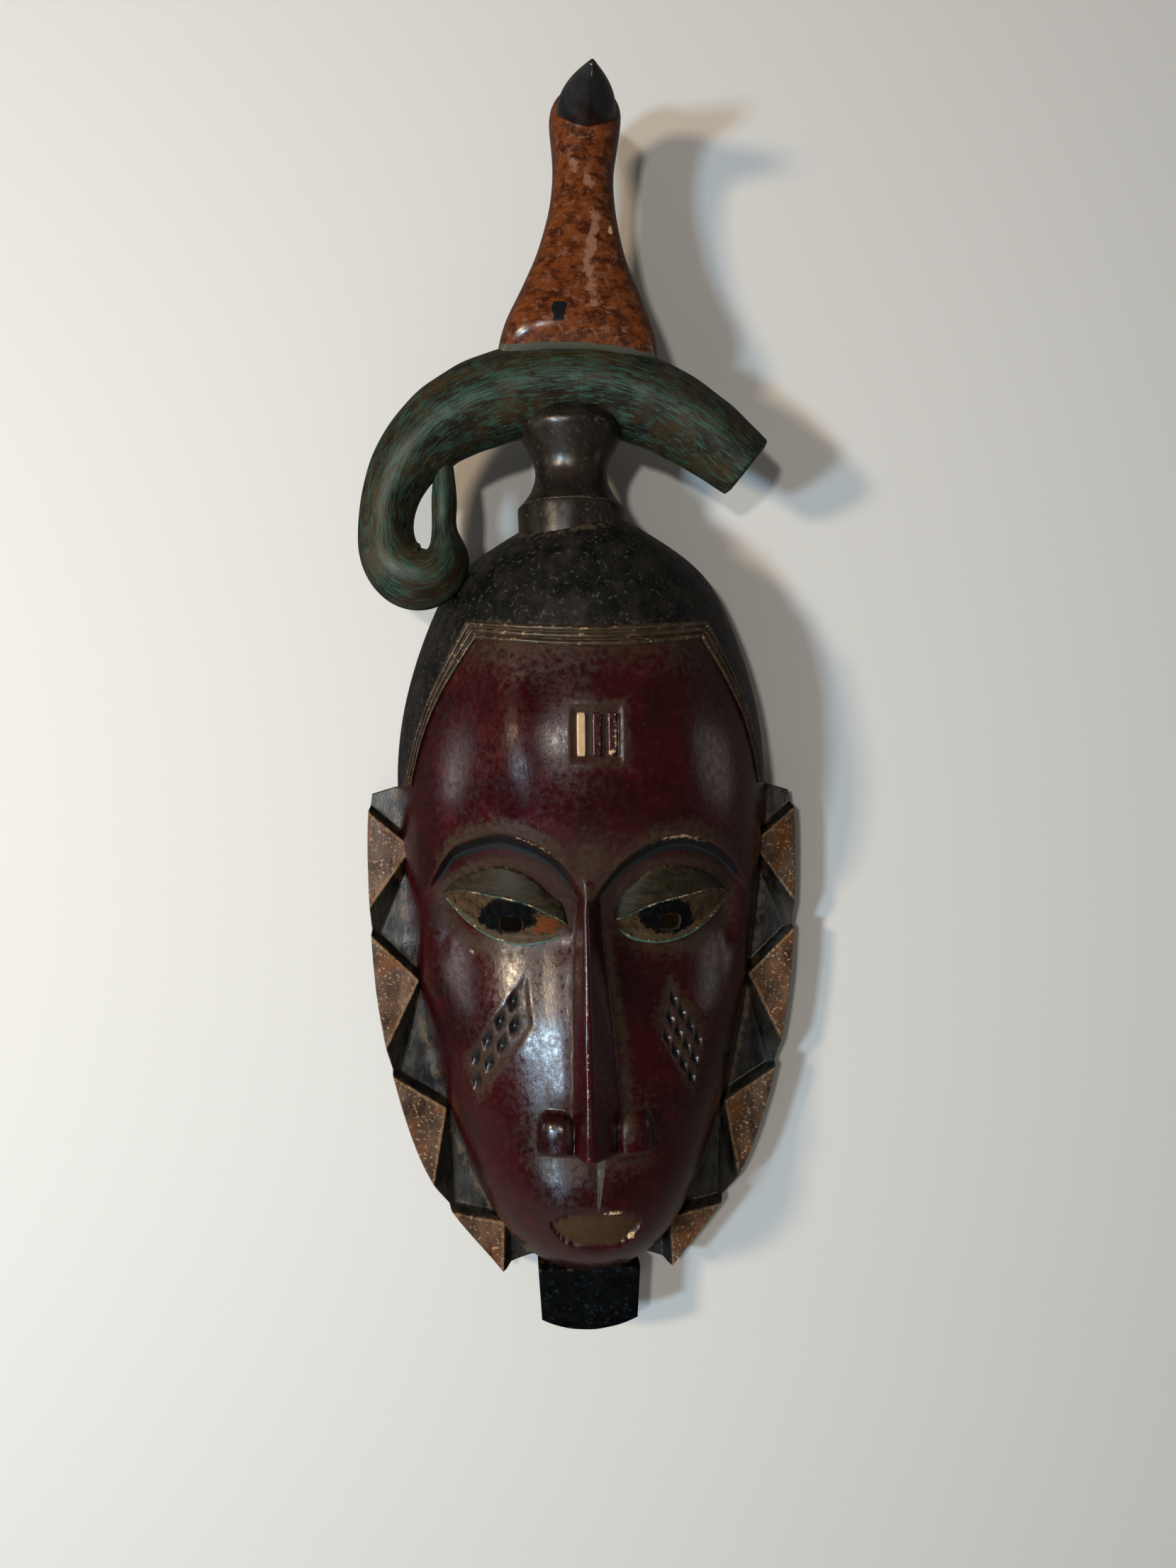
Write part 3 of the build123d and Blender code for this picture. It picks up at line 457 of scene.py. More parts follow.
MOUTH_HALF, LIP_TOP_Z = 17.6, 50.5
mouth_top = smooth_curve((-MOUTH_HALF, -8.3, 0.4, 9.0, MOUTH_HALF), (45.2, 50.0, 50.3, 49.2, 44.8))
mouth_foot = smooth_curve((-MOUTH_HALF, -12.7, -6.2, 0.6, 9.8, 15.0, MOUTH_HALF),
                          (45.2, 39.6, 36.6, 35.8, 37.5, 41.4, 44.8))
RECESS_X, RECESS_Z = 1.1, 224.2
LEFT_EYE_X, RIGHT_EYE_X, EYE_MIDDLE_Z = -32.5, 32.0, 161.0

SCAR_PANELS = (
    ((-24.6, 134.9), (-22.8, 117.0), (-43.2, 86.5), (-49.0, 102.0)),
    ((29.7, 134.0), (44.6, 113.8), (38.4, 89.4), (23.7, 117.0)),
)


def scar_row(first, step, row_step, rows, lean, half_width, half_length):
    """Four scars in each row: middle x and z, lean in degrees, half width and half length."""
    return [(first[0] + step[0] * k + row_step[0] * row, first[1] + step[1] * k + row_step[1] * row,
             lean, half_width, half_length) for row in range(rows) for k in range(4)]


SCARS = (scar_row((-29.5, 125.4), (-4.8, -7.5), (0.5, -8.7), 2, 16, 2.2, 5.1)
         + scar_row((31.0, 125.0), (3.3, -5.4), (-1.5, -6.9), 3, -12, 1.95, 4.1))


def polygon_inset(x, z, corners):
    """Distance inside a convex polygon, negative outside."""
    centre = np.mean(corners, 0)
    inset = np.full(np.shape(x), 1e9)
    for (x0, z0), (x1, z1) in zip(corners, [*corners[1:], corners[0]]):
        normal = np.array([z0 - z1, x1 - x0]) / math.hypot(x1 - x0, z1 - z0)
        if normal @ (centre - (x0, z0)) < 0:
            normal = -normal
        inset = np.minimum(inset, (x - x0) * normal[0] + (z - z0) * normal[1])
    return inset


def scar_inset(x, z):
    """1 at the middle line of each lozenge scar, 0 at its border, and below 0 outside."""
    best = np.full(np.shape(x), -9.0)
    for cx, cz, lean, half_width, half_length in SCARS:
        c, s = math.cos(math.radians(lean)), math.sin(math.radians(lean))
        across, along = (x - cx) * c - (z - cz) * s, (x - cx) * s + (z - cz) * c
        best = np.maximum(best, 1 - np.abs(across) / half_width - np.abs(along) / half_length)
    return best


def nose_share(x, z):
    """1 on the nose's ridge line and 0 at its two foot lines."""
    left = (NOSE_RIDGE_X - x) / (NOSE_RIDGE_X - nose_left(z))
    right = (x - NOSE_RIDGE_X) / (nose_right(z) - NOSE_RIDGE_X)
    return 1 - np.maximum(left, right)


def wing_height(x, z):
    """Height of the two rounded nostril wings."""
    total = 0.0
    rise = np.where(z > NOSTRIL_Z, (z - NOSTRIL_Z) / 9.6, (z - NOSTRIL_Z) / 14.0)
    for middle in NOSTRILS_X:
        across = np.abs((x - middle) / NOSTRIL_HALF) ** 3.0
        total = total + 6.6 * np.clip(1 - across - np.abs(rise) ** 3.0, 0, 1) ** 0.34
    return total


def mouth_inset(x, z):
    """Distance inside the mouth's outline, negative outside."""
    inset = np.minimum(mouth_top(x) - z, z - mouth_foot(x))
    return np.where(np.abs(x) < MOUTH_HALF, inset, -1.0)


def recess_inset(x, z, half_width, half_height):
    """Distance inside the rectangle round the forehead bars, negative outside."""
    return np.minimum(half_width - np.abs(x - RECESS_X), half_height - np.abs(z - RECESS_Z))


def carved_depth(x, z):
    """Depth of the carved face: the head's form with the sockets sunk under the brow line, then
    the nose and its wings raised, and mouth, lip groove, scars and bar recess cut in."""
    plain = ground(x, z)
    side = 1 - ease(np.abs(x), 52, 66)
    ledge = ease(brow_line(x) - z, -0.3, 4.4)
    depth = plain - socket_sink(z) * side * ledge
    # The cheeks swell beside the nose, the forehead at both sides of its middle.
    depth = depth + 1.6 * (1 - ease(np.abs(x), 7, 22)) * ease(z, 78, 95) * (1 - ease(z, 140, 160))
    depth = depth + 1.4 * hump(np.abs(x), 31, 12) * ease(z, 190, 230) * ease(plain, 30, 60)
    depth = depth + 0.22 * hand_cut(x, z, 34, 1) * ease(plain, 5, 30)
    # The nose is a wedge up to its ridge line, with the wings at its foot.
    above_foot = ease(z, NOSE_Z - 1.4, NOSE_Z - 0.2)
    fade = 1 - ease(z, 164, 178)
    profile = np.clip(nose_share(x, z), 0, 1)
    nose = (ridge_depth(z) - depth) * np.minimum(profile * 1.16, 1) ** 0.85 * above_foot
    depth = depth + np.maximum(nose, 0) * fade
    wings = wing_height(x, z) * above_foot
    depth = higher(plain - socket_sink(z) * side + wings, depth, 0.4)
    # A groove from nose to lip widens upwards; the mouth, the panels and the recess are flat cuts.
    lip_share = np.clip((z - LIP_TOP_Z) / (NOSE_Z - 1.5 - LIP_TOP_Z), 0, 1)
    groove = np.clip(1 - np.abs(x - 0.5) / (0.4 + 3.0 * lip_share), 0, 1) * ease(z, 50, 54) * (1 - above_foot)
    depth = depth - groove
    depth = depth - 2.4 * ease(mouth_inset(x, z), -0.2, 1.0)
    for corners in SCAR_PANELS:
        depth = depth - 0.7 * ease(polygon_inset(x, z, corners), -1.2, 1.6)
    depth = depth - 2.2 * np.clip(scar_inset(x, z), 0, 1) ** 0.8
    return depth - 1.2 * ease(recess_inset(x, z, 8.2, 8.9), -1.2, 0.6)


def dust_on_face(x, z, pits):
    """How thick dust lies: along the brows and the hairline, round the eyes, the nose, the lip
    groove and the bars, and on the scar panels between the pits."""
    under = brow_line(x) - z
    share = nose_share(x, z)
    lip_half = 0.4 + 3.0 * np.clip((z - LIP_TOP_Z) / 20, 0, 1)
    nose_foot = 0.30 * hump(z, 71.0, 1.8) + 0.40 * hump(z, 67.0, 5.0)
    panels = sum(ease(polygon_inset(x, z, corners), -4.5, 3.5) for corners in SCAR_PANELS)
    places = (
        (0.34 * hump(under, -0.8, 0.9) + 0.46 * hump(under, -3.0, 3.4)) * (1 - ease(np.abs(x), 55, 62)),
        hump(x, -1, 10) * hump(z, 178, 10) * 0.66,
        ease(z, 238, 258) * 0.42,
        hump(share, -0.20, 0.26) * ease(z, NOSE_Z, NOSE_Z + 8) * (1 - ease(z, 158, 166)) * 0.60,
        (hump(np.abs(x), 14.5, 10) * hump(z, 78, 13)) * (wing_height(x, z) <= 0) * (share < 0) * 0.6,
        (z < NOSE_Z) * nose_foot * (1 - ease(np.abs(x), 16, 30)),
        (np.abs(x - 0.5) < lip_half) * (z > LIP_TOP_Z) * (z < NOSE_Z) * 0.78,
        eye_halo(x, z) * 0.56,
        panels * 0.62 * (1 - pits),
        ease(recess_inset(x, z, 11.5, 12), -3.0, 3) * 0.56,
    )
    return np.max(places, 0)


def chips_on_face(x, z):
    """Where the lacquer has chipped: the lips, the brows' edges, the nose ridge and one cheek."""
    under = brow_line(x) - z
    lips = 0.75 * hump(x, 5.5, 4.5) * hump(z, 50.0, 1.0) + 0.75 * hump(x, 13.0, 2.0) * hump(z, 39.8, 1.8)
    brows = 0.66 * hump(x, 32, 13) * hump(under, 0.8, 1.0) * (x > 0)
    brows = brows + 0.5 * hump(x, -22, 14) * hump(under, 0.6, 0.8)
    ridge = 0.38 * hump(x, NOSE_RIDGE_X, 0.7) * (z > NOSE_Z) * (z < 150)
    return lips + brows + ridge + 0.7 * hump(x, -45, 1.2) * hump(z, 143, 1.0)


def face_marks(x, z, raw):
    """Marks for dust, black paint under the brows, painted shade in the scar pits, the flat mouth floor,
    chips, bare wood and dulled lacquer.
    """
    under = brow_line(x) - z
    black = ease(under, 0.5, 1.2) * (1 - ease(under, 5.4, 6.6)) * (1 - ease(np.abs(x), 55, 62))
    black = black * ease(np.abs(x + 1.2), 4.5, 9)
    pits = ease(scar_inset(x, z), 0.02, 0.22)
    mouth = ease(mouth_inset(x, z), 0.7, 1.0)
    return {
        "dust": dust_on_face(x, z, pits) * (1 - mouth),
        # The scar pits join the black mark and are laid near-black: painted shade in the cuts.
        "black": np.maximum(black, 0.8 * pits),
        "mouth": mouth,
        "chip": chips_on_face(x, z) * (1 - raw),
        "bare": raw,
        "satin": 1.2 * hump(x, -26, 13) * ease(z, 188, 200) * ease(z, 250, 236),
    }


def eye_halo(x, z):
    """Bell round both eyes, following their almond outline."""
    total = 0.0
    for middle in (LEFT_EYE_X, RIGHT_EYE_X):
        far = np.hypot((x - middle) / 27.5, (z - EYE_MIDDLE_Z) / 19.5)
        total = total + hump(far, 0.85, 0.13 + 0.09 * ease(z, 160, 148))
    return np.clip(total, 0, 1)


# ---- Face and cap ------------------------------------------------------------------------------
STEP = 6
angles = columns(62.0, 0.55, 252)


def face():
    """The hollow face. Rows run from the chin to the hairline; above the temples they are
    spread between the temples and the hairline of their own column. The chin is closed by
    rows drawn back to the wall plane."""
    low = spaced((CHIN_Z, 60, 140, 192, 203), (1.5, 0.85, 0.6, 1.0), STEP)
    high = spaced((0, 1), (1 / 42,), STEP)
    top = np.maximum(hairline(squarish(angles, SQUARENESS)), low[-1] + 1)
    z = np.concatenate([np.repeat(low[:, None], len(angles), 1),
                        low[-1] + (top[None] - low[-1]) * high[1:, None]])
    x, plain = head_points(angles[None], z)
    depth = plain + (carved_depth(x, z) - plain) * ease(plain, 4, 12)
    closing = np.linspace(0, 1, STEP + 1)[:-1, None]
    outer = np.concatenate([place(x[:1], depth[:1] * closing, z[:1]), place(x, depth, z)])
    rows = np.maximum(np.arange(0, len(outer), STEP) - STEP, 0)
    inner_z = np.maximum(z[rows][:, ::STEP], JAW_Z)
    ix, idepth = head_points(angles[None, ::STEP], inner_z, WALL)
    idepth = np.minimum(idepth, np.maximum(carved_depth(ix, inner_z) - 4.0, 0))
    inner = place(ix, idepth, inner_z)
    inner[0, :, 1] = 0
    points, polygons = shell(outer, inner)
    marks = face_marks(outer[..., 0], outer[..., 2], (outer[..., 1] > -3.0) * 1.0)
    thing = piece("face", points, polygons, on_shell(marks, outer, inner), "face_shell",
                  once("rubbed_oxblood", oxblood))
    for side in (-1, 1):
        pierce(thing, pupil_hole(side))


def cap():
    """The skull cap: from the hairline and the temples up over the crown, hollow below. The
    crown's rows are drawn back to the wall plane and slightly domed."""
    low = hairline(squarish(angles[::2], SQUARENESS))[None]
    z = low + (TOP_Z - low) * np.linspace(0, 1, 97)[:, None]
    x, depth = head_points(angles[None, ::2], z)
    depth = depth + 0.25 * hand_cut(x, z, 30, 5) * ease(depth, 3, 15)
    over = np.linspace(1, 0, 4 * STEP + 1)[1:, None]
    dome = 3.0 * np.sin(np.pi * over) * np.sin(angles[None, ::2])
    outer = np.concatenate([place(x, depth, z), place(x[-1:], depth[-1:] * over, TOP_Z + dome)])
    inner_z = np.minimum(z, CROWN_Z)[::STEP, ::STEP]
    ix, idepth = head_points(angles[None, ::2 * STEP], inner_z, WALL)
    inner = np.concatenate([place(ix, idepth, inner_z),
                            place(ix[-1:], idepth[-1:] * over[STEP - 1::STEP], CROWN_Z)])
    points, polygons = shell(outer, inner)
    x, depth, z = outer[..., 0], -outer[..., 1], outer[..., 2]
    near_band = hump(z - low, 2.5, 3.5) * (np.abs(x) < 66) * 0.5
    foot = hump(np.hypot(x - CREST_X, depth - CREST_DEPTH), 21.5, 2.5) * (z > 290) * 0.55
    marks = {"dust": np.maximum(near_band, foot), "bare": ease(depth, 9, 2) * 0.9}
    marks = on_shell(marks, outer, inner)
    finish = worn_wood("charcoal_paint", (0.0022, 0.0021, 0.0018), (0.021, 0.018, 0.0145),
                       (0.050, 0.048, 0.044), 9, (1, 1, 1.2), (0.32, 0.52), 0.14, 0.27)
    thing = piece("cap", points, polygons, marks, "skull_cap", finish)
    for side in (-1, 1):
        pierce(thing, cord_hole(side))


PUPIL_X, PUPIL_Z, PUPIL_HALF, PUPIL_HALF_HEIGHT = 30, 154, 4.25, 3.25
CORD_X, CORD_DEPTH, CORD_Z, CORD_RADIUS, CORD_TURN = 70.0, 13.0, 213.0, 2.5, math.radians(6.7)


def pupil_hole(side):
    """Rings of a straight hole through an eye: a rounded oblong carried backwards."""
    angle = around(32)
    return place(side * PUPIL_X + PUPIL_HALF * squarish(angle, 3.2), np.array([[20.0], [90.0]]),
                 PUPIL_Z + PUPIL_HALF_HEIGHT * squarish(angle - np.pi / 2, 3.2))


def cord_hole(side):
    """Rings of a round hole, square to the side wall at the temple."""
    angle, along = around(24), np.array([[-16.0], [16.0]])
    x = CORD_X + along * math.cos(CORD_TURN) - CORD_RADIUS * np.cos(angle) * math.sin(CORD_TURN)
    depth = CORD_DEPTH + along * math.sin(CORD_TURN) + CORD_RADIUS * np.cos(angle) * math.cos(CORD_TURN)
    return place(side * x, depth, CORD_Z + CORD_RADIUS * np.sin(angle))


def pierce(thing, rings):
    """Cuts a hole, given by two rings, through a piece."""
    points, polygons = stacked(rings)
    faces = [tuple(int(i) for i in corners) for part in polygons for corners in part]
    mesh = bpy.data.meshes.new("hole")
    mesh.from_pydata((points * MM).tolist(), [], faces)
    work = bmesh.new()
    work.from_mesh(mesh)
    bmesh.ops.recalc_face_normals(work, faces=work.faces)
    work.to_mesh(mesh)
    work.free()
    cutter = show(bpy.data.objects.new("hole", mesh))
    cut = thing.modifiers.new("hole", "BOOLEAN")
    cut.operation, cut.solver, cut.object = "DIFFERENCE", "MANIFOLD", cutter
    shaped = thing.evaluated_get(bpy.context.evaluated_depsgraph_get())
    whole, thing.data = thing.data, bpy.data.meshes.new_from_object(shaped)
    thing.modifiers.clear()
    bpy.data.objects.remove(cutter)
    bpy.data.meshes.remove(mesh)
    bpy.data.meshes.remove(whole)


# ---- Hairline band and forehead bars -----------------------------------------------------------
BAND_TURN, BAND_EDGE_X, BAND_EDGE_Z = 0.45, 45.5, 268.0


def band_edge(along, inset_top, inset_side):
    """A line along the hairline: up one side, over the forehead and down the other, drawn in
    by its insets. Along runs from -1 to 1, and the corners lie at plus and minus the turn."""
    side_z = smooth_curve((0, 0.5, 1), (TEMPLE_Z, 236.0 - inset_side / 2, BAND_EDGE_Z - inset_top))
    side_x = smooth_curve((0, 0.5, 1), (71.5 - inset_side, 62.3 - inset_side, BAND_EDGE_X - inset_side))
    climb = np.clip((1 - np.abs(along)) / (1 - BAND_TURN), 0, 1)
    across = np.clip(along / BAND_TURN, -1, 1)
    on_side = np.abs(along) > BAND_TURN
    x = np.where(on_side, np.sign(along) * side_x(climb), across * (BAND_EDGE_X - inset_side))
    z = np.where(on_side, side_z(climb), BAND_EDGE_Z - inset_top - BAND_SAG * (1 - across**2))
    return x, z


def band():
    """A strip with three rounded ridges carried along the hairline, seated in its groove."""
    stops = (-1, -BAND_TURN, BAND_TURN)
    along = [np.linspace(a, b, 121)[:-1] for a, b in zip(stops, (*stops[1:], 1))]
    along = np.concatenate([*along, [1]])[:, None]
    across = np.linspace(0, 1, 43)[None]
    ox, oz = band_edge(along, 0.0, 0.0)
    ix, iz = band_edge(along, 8.0, 3.8)
    x, z = ox + (ix - ox) * across, oz + (iz - oz) * across
    ridge = np.abs(np.sin(3 * np.pi * across)) ** 0.6
    edge = ease(across, 0, 0.05) * ease(across, 1, 0.95)
    uneven = 0.25 * hand_cut(along * 140, across * 8, 9, 11)
    outer = place(x, ground(x, z) + (0.3 + 1.9 * ridge + uneven * ridge) * edge, z)
    inner = place(x, ground(x, z) - 2.9, z)[::STEP, ::STEP]
    points, polygons = shell(outer, inner)
    worn = 0.5 * ease(ridge, 0.9, 1) * ease(hand_cut(along * 140, across * 30, 12, 3), 0.1, 0.6)
    marks = on_shell({"dust": (1 - ridge) * 0.8, "bare": worn}, outer, inner, bare_inside=0.0)
    finish = worn_wood("brown_paint", (0.022, 0.013, 0.007), (0.075, 0.043, 0.020), (0.30, 0.20, 0.10), 4,
                       (2, 1, 1), (0.30, 0.5), 0.1)
    piece("band", points, polygons, marks, "hairline_band", finish)


BARS_X, BARS_Z, BAR_PITCH = 1.0, 224.0, 5.5
BAR_HALF, BAR_HALF_HEIGHT, BAR_BACK, BAR_EDGE = 1.55, 7.75, 81.5, 0.7


def bar_rings(x, front):
    """Rings of one upright bar from its back to its front, drawn in round the front edge."""
    angle = around(40)[0]
    t = np.linspace(0, 1, 9)[:, None]
    inset = BAR_EDGE * (1 - np.sqrt(np.clip(1 - ease(t, 0.55, 1.0) ** 2 * 0.98, 0, 1)))
    depth = BAR_BACK + (front - BAR_BACK) * np.minimum(t / 0.8, 1)
    return place(x + (BAR_HALF - inset) * squarish(angle, 9), depth,
                 BARS_Z + (BAR_HALF_HEIGHT - inset) * squarish(angle - np.pi / 2, 9))


def forehead_bars():
    """Three upright bars side by side in the forehead's recess, the first worn to bare wood."""
    points, polygons, worn_off, count = [], [], [], 0
    for number, worn in enumerate((1.0, 0.10, 0.28)):
        x = BARS_X + (number - 1) * BAR_PITCH
        at, faces = stacked(bar_rings(x, ground(x, BARS_Z) + 0.7))
        points.append(at)
        polygons += [corners + count for corners in faces]
        worn_off.append(worn + 0.3 * hand_cut(at[:, 0] * 3, at[:, 2], 9, number + 2))
        count += len(at)
    piece("bars", np.concatenate(points), polygons, {"chip": np.concatenate(worn_off)}, "forehead_bars",
          once("rubbed_oxblood", oxblood))


# ---- Eyes --------------------------------------------------------------------------------------
EYE_LINES = {
    -1: dict(
        top=((-56.4, -52.5, -46.7, -39.4, -30.7, -24.8, -19, -13.1, -9.6, -8.6),
             (165.0, 169.3, 172.9, 176.0, 176.3, 173.7, 169.6, 164.2, 159.0, 154.5)),
        lid=((-56.4, -52.3, -39.7, -30.8, -22.9, -15.2, -11, -8.6),
             (165.2, 166.2, 165.2, 163.6, 161.3, 157.6, 155.4, 153.6)),
        foot=((-56.4, -51.1, -47.1, -41, -33.1, -25, -17, -11, -8.6),
              (164.6, 158.3, 154.6, 150.3, 147.2, 146.2, 147.5, 150.4, 153.0)),
        pupil=(-31.6, 157.2), iris=-17.0),
    1: dict(
        top=((8.0, 9.4, 13.5, 19.5, 25.5, 31.5, 39.5, 46.7, 52.0, 56.0),
             (156.5, 162.0, 168.0, 173.5, 175.8, 176.2, 174.6, 171.2, 167.3, 163.0)),
        lid=((8.0, 11, 15.2, 22.9, 30.8, 39.7, 51, 56.0),
             (155.6, 156.0, 157.8, 160.9, 162.9, 164.6, 165.4, 163.2)),
        foot=((8.0, 11, 17, 25, 33.1, 41, 47.1, 52, 56.0),
              (155.0, 151.0, 147.6, 146.3, 147.0, 149.7, 153.6, 158.0, 162.6)),
        pupil=(29.0, 156.6), iris=20.0),
}


def eye(side, name):
    """An almond eye: a swollen upper lid that ends in a crisp edge, the eyeball set back under
    it, and a thin lower rim. Rows run from the lower rim to the top of the lid."""
    lines = EYE_LINES[side]
    top, lid, foot = (smooth_curve(*lines[k]) for k in ("top", "lid", "foot"))
    first, last = lines["top"][0][0], lines["top"][0][-1]
    centre, half = (first + last) / 2, (last - first) / 2
    x = (centre - half * np.cos(np.linspace(0, np.pi, 145)))[None]
    z0, z2, z3 = foot(x), lid(x), top(x)
    rim = np.minimum(1.5, (z2 - z0) * 0.3)
    row = np.linspace(0, 6, 97)[:, None]
    ball_t, lid_t = np.clip((row - 1.5) / 1.5, 0, 1), np.clip((row - 3.0) / 2.7, 0, 1)
    z = z0 - 0.05 + rim * np.clip(row - 0.5, 0, 1) + (z2 - z0 - rim) * ball_t + (z3 - z2) * lid_t
    ends = np.clip(1 - ((x - centre) / half) ** 2, 0, 1) ** 0.45
    rim_line = 2.6 * ease(row, 0.1, 0.6) * ease(row, 1.7, 1.3)
    ball = (1.7 + 2.1 * ball_t) * ease(row, 1.3, 1.6) * ease(row, 3.2, 3.0)
    cover = (6.3 - 4.6 * lid_t**1.5) * ease(row, 3.02, 3.25) * ease(row, 6.0, 5.4)
    base = ground(x, z) - socket_sink(z) * (1 - ease(np.abs(x), 52, 66)) - 0.8
    outer = place(x, base + (rim_line + ball + cover) * ends + 0.15 * hand_cut(x, z, 14, 21), z)
    inner = place(x, base - 3, z)[::STEP, ::STEP]
    points, polygons = shell(outer, inner)
    pupil_x, pupil_z = lines["pupil"]
    across, up = x - pupil_x, z - pupil_z + side * 0.10 * (x - pupil_x)
    pupil = ease((np.abs(across) / 10.4) ** 2.4 + (np.abs(up) / 6.6) ** 2.4, 1.7, 0.5)
    edge = hump(row, 3.12, 0.12)
    marks = {
        "lid": ease(row, 3.0, 3.15),
        "pupil": pupil * (row < 3.1) * (row > 1.55),
        "teal": np.maximum((row < 1.25) * hump(row, 0.65, 0.45), 0.85 * edge) * ease(ends, 0.1, 0.4),
        "orange": hump(x, lines["iris"], 5.0) * hump(z, 154.0, 4.0) * (row < 3) * (row > 1.6) * (side < 0),
        "chip": (0.66 * edge + 0.5 * hump(row, 1.1, 0.3)) * ease(hand_cut(x, z, 7, 9), 0.0, 0.5),
        "dust": 0.7 * np.maximum(hump(row, 1.5, 0.3), hump(row, 5.9, 0.5)),
    }
    thing = piece(name, points, polygons, on_shell(marks, outer, inner), "face_shell",
                  once("eye_paint", eye_paint))
    pierce(thing, pupil_hole(side))


def eye_paint(f):
    """Olive lids, a brown eyeball with a black pupil, and traces of green on the rims."""
    scratch = f.noise(2.2, stretch=(4, 1, 1), detail=8, roughness=0.75, turn=0.15)
    lid = f.mix(f.between(scratch, 0.36, 0.66), (0.0080, 0.0062, 0.0030), (0.038, 0.028, 0.0140))
    f.colour = f.mix(f.cloud(3, 0.36, 0.66, offset=3.0, detail=8, roughness=0.7), (0.016, 0.0085, 0.004),
                     (0.090, 0.053, 0.025))
    f.lay(f.mark("lid"), lid)
    f.lay(f.ragged("orange", 2.2, 0.7), f.mix(f.noise(3), (0.075, 0.016, 0.003), (0.16, 0.046, 0.009)))
    f.lay(f.ragged("pupil", 3.6, 0.75),
          f.mix(f.cloud(3, 0.4, 0.7), (0.0010, 0.0011, 0.0013), (0.0055, 0.0060, 0.0070)))
    f.lay(f.ragged("teal", 2.0, 0.6), f.mix(f.noise(2), (0.020, 0.042, 0.030), (0.095, 0.175, 0.130)))
    f.lay(f.times(f.ragged("dust", 2.0, 0.6, offset=5.0), 0.8),
          f.mix(f.noise(1.2), (0.030, 0.020, 0.011), (0.100, 0.072, 0.040)))
    f.lay(f.ragged("chip", 1.5, 0.6), CREAM)
    gloss = f.between(f.mark("pupil"), 0, 1, 0.14, 0.04)
    return f.done(f.between(scratch, 0.3, 0.7, 0.32, 0.60), scratch, 0.20, gloss)


# ---- Side flanges ------------------------------------------------------------------------------
FLANGE_PLATE, PAD_PROUD, PAD_REACH = 13.0, 7.0, 18.0
FLANGE_FOOT_Z, HEEL_Z, PADS_TOP_Z = 9.05, 14.0, 202
flange_rim = smooth_curve((9.0, MOUTH_Z, NOSE_Z, CHEEK_Z, EYE_Z, 203.5, TEMPLE_Z),
                          (34.5, 62.2, 73.6, 83.8, 86.9, 86.5, 86.2))
# Each pad: heights of its upper corner, of its apex towards the face, and of its lower corner.
PADS = ((196.5, 181.5, 157.0), (146.5, 127.9, 100.0), (89.5, 76.0, 44.5), (34.0, 29.1, 7.0))


def pad_height(x, z, high, apex, low):
    """Height of one triangular pad over the plate, and how far inside its outline a place is.
    Its upper side falls off steeply; its lower side falls in a facet that widens to the rim."""
    apex_x = flange_rim(apex) - PAD_REACH
    up = np.array([flange_rim(high) - apex_x, high - apex])
    down = np.array([flange_rim(low) - apex_x, low - apex])
    up, down = up / np.hypot(*up), down / np.hypot(*down)
    dx, dz = x - apex_x, z - apex
    over = dx * -up[1] + dz * up[0]
    under = -(dx * -down[1] + dz * down[0])
    run = np.clip(dx * down[0] + dz * down[1], 0, 60)
    fall = np.maximum(np.clip(over / 1.7, 0, 1), np.clip(under / (0.5 + 0.23 * run), 0, 1))
    behind = np.clip(-dx / 2.0, 0, 1) * (np.abs(dz) < 30)
    return PAD_PROUD * (1 - np.maximum(fall, behind)), -np.maximum(over, under)


def flange(side, name, node):
    """One flange: a plate from inside the head's form to the rim, with its row of pads."""
    z = spaced((FLANGE_FOOT_Z, HEEL_Z, 60, PADS_TOP_Z), (0.7, 0.6, 0.62), STEP)[:, None]
    top_rows = spaced((0, 1), (1 / 6,), STEP)[1:, None]
    z = np.concatenate([z, PADS_TOP_Z + (TEMPLE_Z - 0.2 - PADS_TOP_Z) * top_rows])
    across = spaced((0, 1), (1 / 60,), STEP)[None]
    heel = np.interp(z, (FLANGE_FOOT_Z, HEEL_Z), (34.4, 20.5))
    head_half = head(z[:, 0])[:, :1]
    inside = np.where(z < HEEL_Z, heel, np.maximum(head_half - 4.0, 17.0))
    curve = 1.2 * np.sin(np.pi * np.clip((z - 9) / 5, 0, 1)) * (z < HEEL_Z)
    x = inside + curve + (flange_rim(z) - inside - curve) * across
    tall = z - 3.0 * np.clip((x - 76.5) / 10, 0, 1) * ease(z, 196, 206.5)
    height, inset = (np.max(each, 0) for each in zip(*(pad_height(x, tall, *pad) for pad in PADS)))
    depth = FLANGE_PLATE + np.maximum(height, 0) + 0.25 * hand_cut(x, tall, 16, 31 + side)
    outer = place(side * x, depth - 0.8 * ease(across, 0.985, 1.0), tall)
    inner = place(side * x, 0, tall)[::STEP, ::STEP]
    points, polygons = shell(outer, inner)
    pad = ease(inset, -0.3, 0.3)
    worn = np.maximum(0.72 * (hump(inset, 0.6, 0.8) * pad), 0.5 * hump(across, 1, 0.03))
    beside_face = hump(x - head_half, 1.0, 2.2) * 0.6
    marks = {"pad": pad, "worn": worn, "dust": beside_face * (1 - pad), "bare": 0.0}
    piece(name, points, polygons, on_shell(marks, outer, inner), node,
          once("rubbed_flange", flange_paint))


